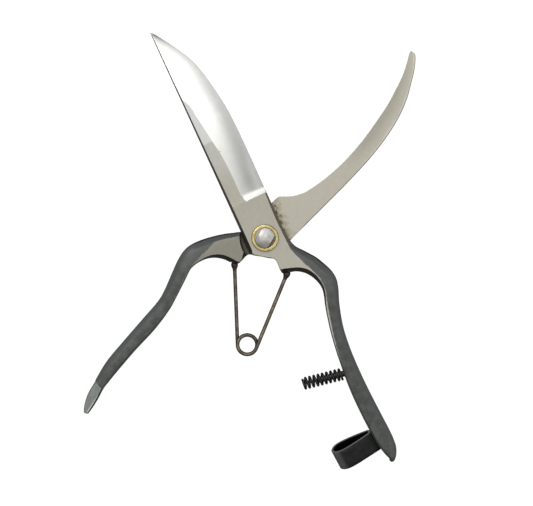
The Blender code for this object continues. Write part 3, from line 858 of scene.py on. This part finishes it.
def counter_blade_rows():
    """Hooked blade, tip to cheek: outer x, y, inner x, y, thickness."""
    shape = [
        (10.1, 98.35, 11.7, 98.0, 1.9),
        (8.9, 97.7, 11.75, 97.2, 2.15),
        (7.0, 95.7, 10.9, 95.6, 2.35),
        (4.5, 92.4, 9.4, 93.0, 2.5),
        (2.8, 89.5, 7.7, 89.7, 2.65),
        (0.5, 85.6, 6.0, 85.4, 2.8),
        (-1.4, 82.0, 4.9, 81.8, 2.95),
        (-3.9, 75.5, 3.0, 75.6, 3.15),
        (-5.8, 68.0, 1.5, 68.0, 3.35),
        (-7.0, 60.6, 0.25, 60.4, 3.55),
        (-7.65, 54.0, -0.5, 54.0, 3.7),
        (-8.0, 46.0, -0.85, 46.0, 3.9),
        (-8.15, 38.0, -0.5, 37.7, 4.05),
        (-8.15, 30.0, 0.5, 30.4, 4.25),
        (-8.15, 25.0, 1.9, 24.7, 4.35),
        (-8.12, 21.0, 3.9, 20.9, 4.45),
        (SPINE_X, 19.0, 5.6, 18.8, 4.5),
        (SPINE_X, 17.4, 7.3, 17.1, 4.55),
        (SPINE_X, 16.0, 8.25, 15.6, 4.58),
    ]
    under = profile(-LAP, (0.35, 0.3, 0.0), NO_RAMP, SLIDE_CORNER)
    rows = []
    for ox, oy, ix, iy, thick in shape:
        drop = (thick - LAP) * 0.8
        face = profile(thick, (0.9, drop, 0.0), (2.0, 0.0, 1.0), (0.8, drop, 0.0))
        rows.append([ox, oy, ix, iy] + face + under)
    return rows


def dense(rows, spacing=0.5):
    """Fill in the ladder so that neighbouring rungs are about spacing apart."""
    steps = []
    for first, second in zip(rows, rows[1:]):
        left = math.dist(first[0:2], second[0:2])
        right = math.dist(first[2:4], second[2:4])
        steps.append(max(1, round(max(left, right) / spacing)))
    return catmull(rows, steps)


def plate_hole(x, y, radius, low, high):
    return prism([(x + radius * math.cos(t), y + radius * math.sin(t)) for t in around(64)], low, high)


def lap_prism():
    """What the other half's cheek swings through: a round shoulder, and a clear space past the cheek."""
    first, sweep, beyond, behind = -31.9, -46.1, 14.0, -14.0
    turns = [math.radians(first + sweep * k / 40) for k in range(41)]
    outline = [(beyond, -5.6)] + [(LAP_RADIUS * math.cos(t), LAP_RADIUS * math.sin(t)) for t in turns]
    outline += [(1.0, -12.6), (0.35, -14.2), (0.1, -15.1), (-6.0, -15.1)]
    outline += [(-beyond, 0.0), (-beyond, 16.0), (beyond, 16.0)]
    return prism(outline, behind, LAP)


# ======== forged halves: what is ground, how bright, and where light and shade are painted
FACE_POLISH = [
    (-12.0, 110.0), (14.0, 110.0), (14.0, 20.0), (10.0, 2.0), (7.5, -3.3), (7.7, -8.4), (8.5, -11.1),
    (9.6, -13.8), (10.6, -16.6), (11.8, -19.0), (12.8, -21.7), (13.8, -24.5), (14.0, -27.2), (13.9, -30.3),
    (13.3, -32.0), (12.45, -34.8), (11.45, -38.5), (10.15, -43.9), (8.95, -49.3), (8.15, -54.5), (7.4, -59.7),
    (6.9, -63.0), (7.15, -59.6), (7.75, -54.4), (8.35, -49.2), (9.4, -43.8), (10.65, -38.4), (11.75, -34.8),
    (12.7, -31.5), (13.2, -28.9), (13.4, -26.7), (12.9, -23.9), (11.9, -21.2), (10.2, -19.0), (8.0, -17.2),
    (4.2, -15.6), (1.0, -14.8), (-3.0, -18.0), (-12.0, -12.0),
]
PATCH_POLISH = [
    (-12.0, 110.0), (14.0, 110.0), (14.0, 20.0), (12.0, 0.0), (8.2, -6.9), (10.5, -10.1), (12.6, -12.9),
    (14.0, -15.4), (13.7, -17.2), (13.6, -19.8), (13.7, -23.1), (13.45, -27.7), (13.1, -31.6), (11.6, -36.2),
    (10.2, -40.6), (8.85, -45.0), (7.35, -49.8), (6.3, -55.0), (6.05, -55.0), (7.05, -49.8), (8.5, -45.0),
    (9.9, -40.6), (11.3, -36.2), (12.75, -31.6), (12.75, -28.0), (12.15, -24.4), (11.1, -21.3), (9.1, -18.65),
    (6.4, -16.75), (3.8, -15.9), (0.5, -15.1), (-3.0, -18.0), (-12.0, -12.0),
]
FACET_OUTLINE = [(9.5, -91.3), (6.3, -92.1), (2.5, -92.2), (0.0, -97.0), (0.0, -106.0), (9.0, -106.0)]
FACET_HIGHLIGHT = [(3.25, -95.4), (1.95, -100.4), (1.35, -103.4), (1.75, -103.4), (2.3, -100.4)]
# Up the blade, as (y, x): the ridge above the hollow grind, the cutting edge, and the hook's back.
RIDGE = [
    (17.0, 0.0), (17.8, -1.0), (18.9, -1.5), (21.8, -1.6), (30.9, -1.5), (40.3, -2.15), (46.2, -3.3),
    (55.3, -4.5), (62.5, -5.8), (65.4, -6.6), (66.2, -7.4), (98.0, -7.9),
]
EDGE = [
    (17.0, 8.45), (38.0, 8.45), (47.0, 8.3), (54.8, 7.95), (59.7, 7.4), (64.6, 6.6), (69.6, 5.7), (74.6, 4.6),
    (80.0, 2.8), (85.4, 0.05), (89.7, -2.5), (93.4, -4.85), (97.3, -7.4),
]
HOOK_BACK = [(16, -8.1), (46, -8.0), (60.6, -7), (75.5, -3.9), (85.6, 0.5), (92.4, 4.5), (98.35, 10.1)]
STUDIO_GAIN = 1.18           # how much brighter a flat facing the camera renders than its base colour
BEVEL_GAIN = 0.93            # the same for the tilted bevel
BRIGHTEST = 0.95
# Painted reflection of the hollow grind. How bright the steel is up the blade: beside the ridge, in the dark
# valley and past it, and the valley's place across the bevel, from 0 at the ridge to 1 at the edge.
PLATEAU_TONE = [(20, 0.50), (30, 0.58), (38, 0.64), (46, 0.76), (54, 0.90), (80, 0.95), (97, 0.86)]
VALLEY_TONE = [(20, 0.46), (24, 0.40), (30, 0.45), (46, 0.50), (62, 0.56), (80, 0.58), (90, 0.75)]
EDGE_TONE = [(20, 0.66), (45, 0.62), (60, 0.58), (97, 0.60)]
VALLEY_PLACE = [(20, 0.45), (30, 0.52), (38, 0.68), (46, 0.77), (54, 0.86), (66, 0.95), (80, 1.06)]
STRIP_TONE = [(-20, 0.475), (-8, 0.46), (10, 0.44), (20, 0.42), (26, 0.42), (36, 0.455), (45, 0.45)]
UPPER_STRIP_TONE = 0.57
UPPER_STRIP = 45.4           # above this, the flat beside the ridge has a second, brighter grind


def bevel_reflection_tone(x, y):
    """Painted reflection of the hollow-ground bevel: bright by the ridge, a dark valley that drifts to the
    edge, and a paler edge.
    """
    ridge, edge = along_curve(RIDGE, y), along_curve(EDGE, y)
    u = (x - ridge) / np.maximum(edge - ridge, 0.3)
    valley, depth = along_curve(VALLEY_PLACE, y), along_curve(VALLEY_TONE, y)
    tone = depth + (along_curve(PLATEAU_TONE, y) - depth) * smooth_step(valley - u, 0.0, 0.50)
    return tone + (along_curve(EDGE_TONE, y) - depth) * smooth_step(u - valley, 0.05, 0.40)


def strip_tone(y):
    """The flat beside the ridge."""
    return np.where(y > UPPER_STRIP, UPPER_STRIP_TONE, along_curve(STRIP_TONE, y))


def counter_tone(x, y):
    """The hook's flat: even below, and paling towards its back above."""
    from_back = x - along_curve(HOOK_BACK, y)
    upper = smooth_step(y, 40.0, 62.0)
    even = 0.495 - 0.10 * upper * smooth_step(from_back, 0.8, 6.0)
    return even + 0.12 * upper * (1 - smooth_step(from_back, 0.3, 1.1))


def past_cheek(x, y):
    """How far points of the counter half lie to the right of the other cheek when the snips are open."""
    return x * ACROSS_CUTTING[0] + y * ACROSS_CUTTING[1] - CHEEK_RIGHT


STEEP = 0.80                 # a face whose normal has less Z than this is a wall
WEB_RADIUS = 16.5            # the web round the pivot, soiled and painted with shade
LIP_TOP = 19.6               # the step at the foot of the hollow grind, painted bright as a highlight
FAR = -9.0                   # well outside the facet
STAIN_REACH = 1.7            # how far the stain, with the painted shadow of the other cheek, spreads from that cheek's edge
LEAST_STAIN, NO_STAIN = -1.2, -3.0


def shade_half(piece, foot, socket_radius, cutting):
    """Write what the steel material needs: where the half is ground, how bright, where it is soiled, and
    where light and shade are painted.
    """
    spots = vertex_places(piece)
    flat = spots[:, :2]
    x, y, z = spots.T
    on_face = z > LAP + 0.6
    polish = np.where(on_face, signed_distance(flat, FACE_POLISH), signed_distance(flat, PATCH_POLISH))
    store(piece, "polish", polish)
    lower = smooth_step(-y, 8.0, 16.0)
    strip = smooth_step(-y, 28.0, 34.0)
    store(piece, "soft", np.where(on_face, 0.10 + 0.12 * lower, 0.30 + 0.10 * lower - 0.15 * strip))
    # Where the black skin takes a painted highlight, and its painted outline shadow.
    store(piece, "root", 1 - smooth_step(-y, 24.0, 40.0))
    # Where the inner walls are painted dark as shade.
    store(piece, "inside", 1 - smooth_step(-y, 30.0, 42.0))

    middles, normals = face_places(piece)
    mx, my, mz = middles.T
    bevel_faces = cutting & (mz > LAP + 0.02) & (my > BEVEL_FOOT - 0.1) & (mx > along_curve(RIDGE, my))
    is_wall = (np.abs(normals[:, 2]) < STEEP) & ~bevel_faces
    store(piece, "wall", is_wall, "FACE")
    near_pivot = (np.hypot(mx, my) < WEB_RADIUS) & (my < -4.0)
    from_foot = np.hypot(mx - foot.x, my - foot.y)
    in_socket = (from_foot < socket_radius + 0.05) & (np.abs(mz) < SOCKET_HALF_HEIGHT + 0.05)
    # Grime with painted shade: inside the sockets, and on the web's floor by the pivot.
    store(piece, "grime_and_shade", in_socket | ~is_wall & (np.abs(mz - LAP) < 0.1) & near_pivot, "FACE")
    store(piece, "ground_wall", (my > -7.0) & ~(is_wall & (mz < LAP) & near_pivot), "FACE")
    store(piece, "hook", ~cutting & (my > 18.0), "FACE")
    store(piece, "lip_highlight", bevel_faces & (my < LIP_TOP), "FACE")

    no_facet = on_face | cutting
    store(piece, "facet", np.where(no_facet, FAR, signed_distance(flat, FACET_OUTLINE)))
    store(piece, "facet_highlight", np.where(no_facet, 0.0, signed_distance(flat, FACET_HIGHLIGHT) > -0.06))

    tone = np.where(on_face, strip_tone(y), 0.275 + 0.16 * smooth_step(y, -2.0, 4.0)) / STUDIO_GAIN
    cool = np.where(on_face, 0.65 * smooth_step(y, 20.0, 42.0) + 0.35 * (y > UPPER_STRIP), 0.0)
    if cutting:
        in_bevel = (z > LAP + 0.01) & (y > BEVEL_FOOT) & (x > along_curve(RIDGE, y) - 0.05)
        tone = np.where(in_bevel, bevel_reflection_tone(x, y) / BEVEL_GAIN, tone)
        # Painted highlight: the bevel brightens towards its foot, the lip.
        tone = tone + (BRIGHTEST - tone) * smooth_step(LIP_TOP + 0.6 - y, 0.0, 1.2) * in_bevel
        cool = np.where(in_bevel, 1.0, cool)
    else:
        tone = np.where(~on_face & (y > 0.0), counter_tone(x, y) / STUDIO_GAIN, tone)
    store(piece, "tone", np.minimum(tone, BRIGHTEST))
    store(piece, "cool", cool)
    # Highest by the other cheek's edge, where the stain is darkened by painted shadow of that cheek.
    stain_and_shadow = np.maximum(2.2 - past_cheek(x, y) / STAIN_REACH, LEAST_STAIN)
    store(piece, "stain_and_shadow", np.where(on_face | (y < 2.0), NO_STAIN, stain_and_shadow))


def forged_half(name, rows, foot, socket_radius, place, cutting):
    rings = [half_ring(row) for row in rows]
    vertices, faces = skin(rings)
    piece = make_piece(name, vertices, faces, forged_steel(name, place), place)
    socket = plate_hole(foot.x, foot.y, socket_radius, -SOCKET_HALF_HEIGHT, SOCKET_HALF_HEIGHT)
    subtract(piece, [lap_prism(), plate_hole(0, 0, BORE_RADIUS, -8, 8), socket])
    shade_smooth(piece.data, 14)
    shade_half(piece, foot, socket_radius, cutting)
    return piece


def build_halves():
    hub = cheek_rows()
    handle = handle_rows(CUTTING_ROOT + CUTTING_HANDLE)
    rows = dense(blade_rows() + hub[:1], 0.6)[:-1] + dense(hub + handle)
    cutting = forged_half("cutting_half_steel", rows, CUTTING_FOOT, RIGHT_SOCKET_RADIUS, CUTTING_FRAME, True)
    register(cutting, "cutting_half", "forged_steel", "cutting_blade")
    handle = handle_rows(COUNTER_ROOT + COUNTER_HANDLE)
    rows = dense(counter_blade_rows() + hub[2:] + handle)
    counter = forged_half("counter_half_steel", rows, COUNTER_FOOT, LEFT_SOCKET_RADIUS, COUNTER_FRAME, False)
    register(counter, "counter_half", "forged_steel", "counter_blade")


# ========pivot
SHANK_RADIUS = 3.0
HEAD_RADIUS = 4.2
HEAD_HALF_FLATS = 3.05
HEAD_FLAT_ANGLE = math.radians(-31.3)
HEAD_TOP = 7.6
RING_RADIUS = 5.6
RING_SEAT = 4.9
HEAD_SEAT = 5.9
NUT_ACROSS_FLATS = 9.0
TAIL = -8.3


def build_bolt(steel):
    """Shank and domed head, with two flats for a wrench and a hammered crown."""
    corners = [(0, TAIL, 0), (2.6, TAIL, 0.15), (SHANK_RADIUS, TAIL + 0.4, 0.15)]
    corners += [(SHANK_RADIUS, HEAD_SEAT, 0), (HEAD_RADIUS, HEAD_SEAT, 0.1), (HEAD_RADIUS, 6.55, 0.2)]
    crown = [(HEAD_RADIUS * s, HEAD_TOP - 1.0 * s * s) for s in np.linspace(0.97, 0, 16)]
    bolt = make_piece("pivot_bolt_steel", *lathe(rounded_profile(corners) + crown), steel)
    wide = 3 * HEAD_RADIUS
    cutters = []
    for side in (1, -1):
        out = Vector((math.cos(HEAD_FLAT_ANGLE), math.sin(HEAD_FLAT_ANGLE))) * side
        along = Vector((-out.y, out.x))
        rings = []
        for reach, height in ((HEAD_HALF_FLATS + 0.12, 6.22), (HEAD_HALF_FLATS - 0.10, 9.0)):
            corners = [out * reach + along * wide, out * reach - along * wide]
            corners += [out * wide - along * wide, out * wide + along * wide]
            rings.append([(p.x, p.y, height) for p in corners])
        cutters.append(skin(rings))
    subtract(bolt, cutters)
    for vertex in bolt.data.vertices:
        spot = vertex.co / MM
        if spot.z > 6.5:
            dent = noise.noise(Vector((spot.x * 0.4 + 3.0, spot.y * 0.4, 0.0)))
            vertex.co.z = min(vertex.co.z + 0.16 * dent * MM, HEAD_TOP * MM)
    shade_smooth(bolt.data, 28)
    middles, _ = face_places(bolt)
    across = middles[:, 0] * math.cos(HEAD_FLAT_ANGLE) + middles[:, 1] * math.sin(HEAD_FLAT_ANGLE)
    in_step = (np.abs(across) > HEAD_HALF_FLATS - 0.15) & (middles[:, 2] > 6.0)
    store(bolt, "shade", np.where(in_step, np.where(across > 0, 0.85, 0.30), 0.0), "FACE")
    register(bolt, "cutting_half", "bolt_steel", "pivot_bolt")


def build_pivot():
    steel, gold = hammered_steel(), brass()
    build_bolt(steel)

    ring_top, ring_bore, floor = 6.1, HEAD_RADIUS + 0.04, RING_SEAT + 0.7
    ring = [(BORE_RADIUS, RING_SEAT, 0), (RING_RADIUS, RING_SEAT, 0.15), (RING_RADIUS, ring_top, 0.55)]
    ring += [(ring_bore, ring_top, 0.30), (ring_bore, floor, 0), (BORE_RADIUS, floor, 0)]
    piece = make_piece("pivot_ring_brass", *lathe(rounded_profile(ring, 6)), gold)
    register(piece, "cutting_half", "brass", "pivot_ring")

    low, high = -5.6, -4.9
    washer = [(BORE_RADIUS, low, 0.08), (RING_RADIUS, low, 0.2)]
    washer += [(RING_RADIUS, high, 0.2), (BORE_RADIUS, high, 0.08)]
    piece = make_piece("rear_washer_brass", *lathe(rounded_profile(washer)), gold)
    register(piece, "cutting_half", "brass", "rear_washer")

    corner = NUT_ACROSS_FLATS / 2 / math.cos(math.pi / 6)
    turns = [k * math.pi / 3 for k in range(6)]
    hexagon = [Vector((corner * math.cos(t), corner * math.sin(t), 0)) for t in turns]
    rings = []
    for inset, height in ((0.35, TAIL), (0.0, TAIL + 0.3), (0.0, -6.2), (0.35, -5.9)):
        rings.append([tuple(p * (1 - inset / corner) + Vector((0, 0, height))) for p in hexagon])
    nut = make_piece("pivot_nut_steel", *skin(rings), steel)
    subtract(nut, [plate_hole(0, 0, BORE_RADIUS, -9, -5)])
    shade_smooth(nut.data, 20)
    store(nut, "shade", np.zeros(len(nut.data.polygons)), "FACE")
    register(nut, "cutting_half", "bolt_steel", "pivot_nut")


# ========hairpin spring
WIRE_RADIUS = 0.79
COIL_RADIUS = 4.03
COIL_STEP = 0.96


def coil_touch(foot, turn_sign):
    """The angle at which a straight leg from a foot touches the coil."""
    start = foot - COIL
    return math.atan2(start.y, start.x) - turn_sign * math.acos(COIL_RADIUS / start.length)


def on_coil(angle, height=0.0):
    return Vector((COIL_RADIUS * math.cos(angle), COIL_RADIUS * math.sin(angle), height))


def leg_and_coil(foot, turn_sign, wrap, slim):
    """From inside the foot down to the coil and round it, easing to mid height where the two wires meet."""
    touch_angle = coil_touch(foot, turn_sign)
    touch = on_coil(touch_angle)
    level = turn_sign * COIL_STEP
    start = foot - COIL
    entry = start + (touch - start).normalized() * 1.2
    path = []
    for k in range(24):
        share = k / 24
        climb = Vector((0, 0, level * float(smooth_step(share, 0.15, 1.0))))
        path.append(entry.lerp(touch, share) + climb + COIL)
    for degrees in range(0, wrap + 1, 4):
        height = level * (1 - float(smooth_step(degrees, wrap - 120, wrap - 42)))
        path.append(on_coil(touch_angle - turn_sign * math.radians(degrees), height) + COIL)
    count = len(path)
    radii = [WIRE_RADIUS - slim * float(smooth_step(k, count - 16, count - 10)) for k in range(count)]
    return tube(path, radii)


def build_foot(node, foot, turn_sign, body, wire):
    """The flared foot on the wire's end, seated in the handle's socket."""
    outline = [(0, -1.45), (0.55, -1.38), (1.05, -1.0), (1.36, -0.45), (1.45, 0.1), (1.42, 0.5), (1.30, 0.95)]
    outline += [(1.10, 1.4), (0.94, 1.8), (0.85, 2.2), (0.80, 2.7), (0, 2.7)]
    direction = on_coil(coil_touch(foot, turn_sign)) - (foot - COIL)
    turn = direction.to_track_quat("Z", "Y").to_matrix().to_4x4()
    piece = make_piece(f"{node}_steel", *lathe(outline, 48), wire, Matrix.Translation(foot) @ turn, 40)
    store(piece, "foot", np.ones(len(piece.data.vertices)))
    register(piece, body, "spring_wire", node)


def build_hairpin():
    wire = brown_wire()
    for side, foot, turn_sign, wrap, slim in (
        ("right", FOOT_RIGHT, 1, 276, 0.0),
        ("left", FOOT_LEFT, -1, 284, 0.03),
    ):
        leg = make_piece(f"hairpin_{side}_wire", *leg_and_coil(foot, turn_sign, wrap, slim), wire, sharp=60)
        store(leg, "foot", np.zeros(len(leg.data.vertices)))
        register(leg, f"spring_{side}", "spring_wire", f"hairpin_spring_{side}")
        build_foot(f"spring_foot_{side}", foot, turn_sign, f"spring_{side}", wire)


# ========cushion spring and its peg
CUSHION_RADIUS = 2.22
CUSHION_WIRE = 0.50
CUSHION_TURNS = 9.4
CUSHION_PITCH = 1.80


def build_cushion():
    """A short black coil spring pushed over a peg on the cutting half's handle."""
    metal = black_wire()
    rise = math.radians(PEG_RISE)
    outward = CUTTING_FRAME.to_3x3() @ Vector((-math.cos(rise), math.sin(rise), 0))
    place = Matrix.Translation(PEG_BASE) @ outward.to_track_quat("Z", "Y").to_matrix().to_4x4()
    peg = [(0, -2.6), (1.3, -2.6), (1.3, 10.6), (1.22, 11.0), (1.0, 11.3), (0.55, 11.47), (0, 11.5)]
    piece = make_piece("cushion_peg_steel", *lathe(peg, 48), metal, place)
    register(piece, "cutting_half", "black_spring", "cushion_peg")

    steps = 28
    path, height = [], 0.9
    for k in range(int(CUSHION_TURNS * steps) + 1):
        angle = 2 * math.pi * k / steps
        path.append((CUSHION_RADIUS * math.cos(angle), CUSHION_RADIUS * math.sin(angle), height))
        from_end = min(k / steps, CUSHION_TURNS - k / steps)
        height += CUSHION_PITCH * min(1.0, 0.62 + 0.42 * from_end) / steps
    spring = make_piece("cushion_spring_coil", *tube(path, CUSHION_WIRE, 16), metal, place, 60)
    register(spring, "cutting_half", "black_spring", "cushion_spring")
    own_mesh(spring)


# ========closing strap
STRAP_WIDTH = 9.2
STRAP_THICKNESS = 1.0
STRAP_SWIVEL = math.radians(-25.7)
STRAP_EDGE = 0.22            # rounding of the leather's edges
STRAP_LEAN = 2.6             # how far its lower corner follows the handle's curve


def strap_frame():
    """At the rivet: Z out of the handle, Y along it, X across the loop's opening."""
    outward = RIVET_AXIS.normalized()
    along = Vector((0, 0, 1)).cross(outward)
    if along.y < 0:
        along = -along
    axes = Matrix((along.cross(outward), along, outward)).transposed().to_4x4()
    return Matrix.Translation(RIVET) @ axes


def strap_section():
    """(offset from the middle of the leather, place across its width) round the band."""
    thick, wide = STRAP_THICKNESS / 2, STRAP_WIDTH / 2
    inner = thick - STRAP_EDGE
    across = [-wide + STRAP_EDGE, -wide * 0.5, 0.0, wide * 0.5, wide - STRAP_EDGE]
    section = [(-inner, -wide), (inner, -wide)] + [(thick, a) for a in across]
    return section + [(inner, wide), (-inner, wide)] + [(-thick, a) for a in across[::-1]]


def build_strap():
    """A leather band folded on itself, with its ends held under one rivet."""
    half = [(0.62, 0.55), (0.72, 1.0), (1.3, 1.4), (2.8, 1.85), (6.0, 2.6)]
    half += [(10.0, 3.35), (13.5, 3.6), (15.8, 3.05), (17.1, 1.85), (17.68, 0.6)]
    loop = smooth_outline(half + [(u, -w) for u, w in reversed(half)], 8)
    section = strap_section()
    vertices = []
    tags = {"edge_highlight": [], "lining": [], "fold": [], "shadow": []}
    for i, (u, w) in enumerate(loop):
        ahead = Vector(loop[(i + 1) % len(loop)]) - Vector(loop[i - 1])
        normal = Vector((-ahead.y, ahead.x)).normalized()
        near_handle = 1 - float(smooth_step(u, 0.5, 8.0))
        for offset, across in section:
            lean = STRAP_LEAN * near_handle * max(0.0, -across / STRAP_WIDTH + 0.2)
            vertices.append((w + normal.y * offset, across, u + normal.x * offset - lean))
            on_edge = abs(across) > STRAP_WIDTH / 2 - STRAP_EDGE / 2
            # Painted highlight on the band's edges.
            tags["edge_highlight"].append(on_edge)
            tags["lining"].append(offset < 0 and not on_edge)
            tags["fold"].append(float(smooth_step(u, 14.4, 16.8)))
            tags["shadow"].append(1 - float(smooth_step(u, 1.2, 4.5)))
    faces = ring_faces(len(loop), len(section), wrap_rows=True)
    place = strap_frame() @ Matrix.Rotation(STRAP_SWIVEL, 4, "Z")
    strap = make_piece("strap_leather_band", vertices, faces, black_leather(), place, 50)
    for name, values in tags.items():
        store(strap, name, values)
    register(strap, "strap", "strap_leather", "strap_loop")
    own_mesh(strap)

    rivet = [(0, -3.2), (0.7, -3.2), (0.7, 1.2), (1.15, 1.2), (1.15, 1.5), (1.0, 1.8), (0.6, 2.05), (0, 2.12)]
    piece = make_piece("strap_rivet_steel", *lathe(rivet, 48), hammered_steel(), strap_frame())
    store(piece, "shade", np.zeros(len(piece.data.polygons)), "FACE")
    register(piece, "cutting_half", "bolt_steel", "strap_rivet")


# ========stage
def aim(thing, target):
    direction = Vector(target) - thing.location
    thing.rotation_euler = direction.to_track_quat("-Z", "Y").to_euler()


def build_world():
    """Bright overhead and dim at the horizon, a little brighter towards +Y; plain white to the camera."""
    world = bpy.data.worlds.new("studio")
    bpy.context.scene.world = world
    n = Nodes(world)
    direction = n.split(n.add("TexCoord").outputs["Generated"])
    ramp = n.add("ValToRGB")
    n.link(direction["Z"], ramp.inputs["Fac"])
    stops = [(0.0, 0.16), (0.25, 0.22), (0.5, 0.45), (0.72, 0.80), (0.88, 1.0), (1.0, 0.92)]
    while len(ramp.color_ramp.elements) < len(stops):
        ramp.color_ramp.elements.new(0.5)
    for element, (place, level) in zip(ramp.color_ramp.elements, stops):
        element.position = place
        element.color = (level, level, level, 1)
    slope = n.plus(n.times(direction["Y"], 0.35), 1.0)
    light = n.times(ramp.outputs["Color"], slope)
    background = n.tree.nodes["Background"]
    n.link(n.blend(n.camera_ray(), light, 1.0), background.inputs["Strength"])
    n.link((1, 1, 1), background.inputs["Color"])


def build_stage():
    bpy.ops.mesh.primitive_plane_add(size=6.0, location=(0, 0, cad_box[0][2] - 0.0002))
    floor = bpy.context.object
    floor.name = "floor"
    floor.data.materials.append(floor_white())
    build_world()
    for name, spot, size, power in (
        ("key_light", (-0.5, 0.7, 1.2), 0.9, 9.0),
        ("fill_light", (0.9, -0.3, 0.9), 0.9, 3.0),
    ):
        light = bpy.data.objects.new(name, bpy.data.lights.new(name, "AREA"))
        bpy.context.scene.collection.objects.link(light)
        light.location = spot
        light.data.size = size
        light.data.energy = power
        aim(light, (0, 0, 0))

    camera = bpy.data.objects.new("camera", bpy.data.cameras.new("camera"))
    bpy.context.scene.collection.objects.link(camera)
    camera.data.lens = 325.0
    camera.data.clip_end = 20.0
    camera.location = (0.0006, -0.0062, 2.0 + PIVOT_HEIGHT * MM)
    bpy.context.scene.camera = camera
    bpy.context.scene.view_settings.view_transform = "Standard"


build_halves()
build_pivot()
build_hairpin()
build_cushion()
build_strap()
build_stage()
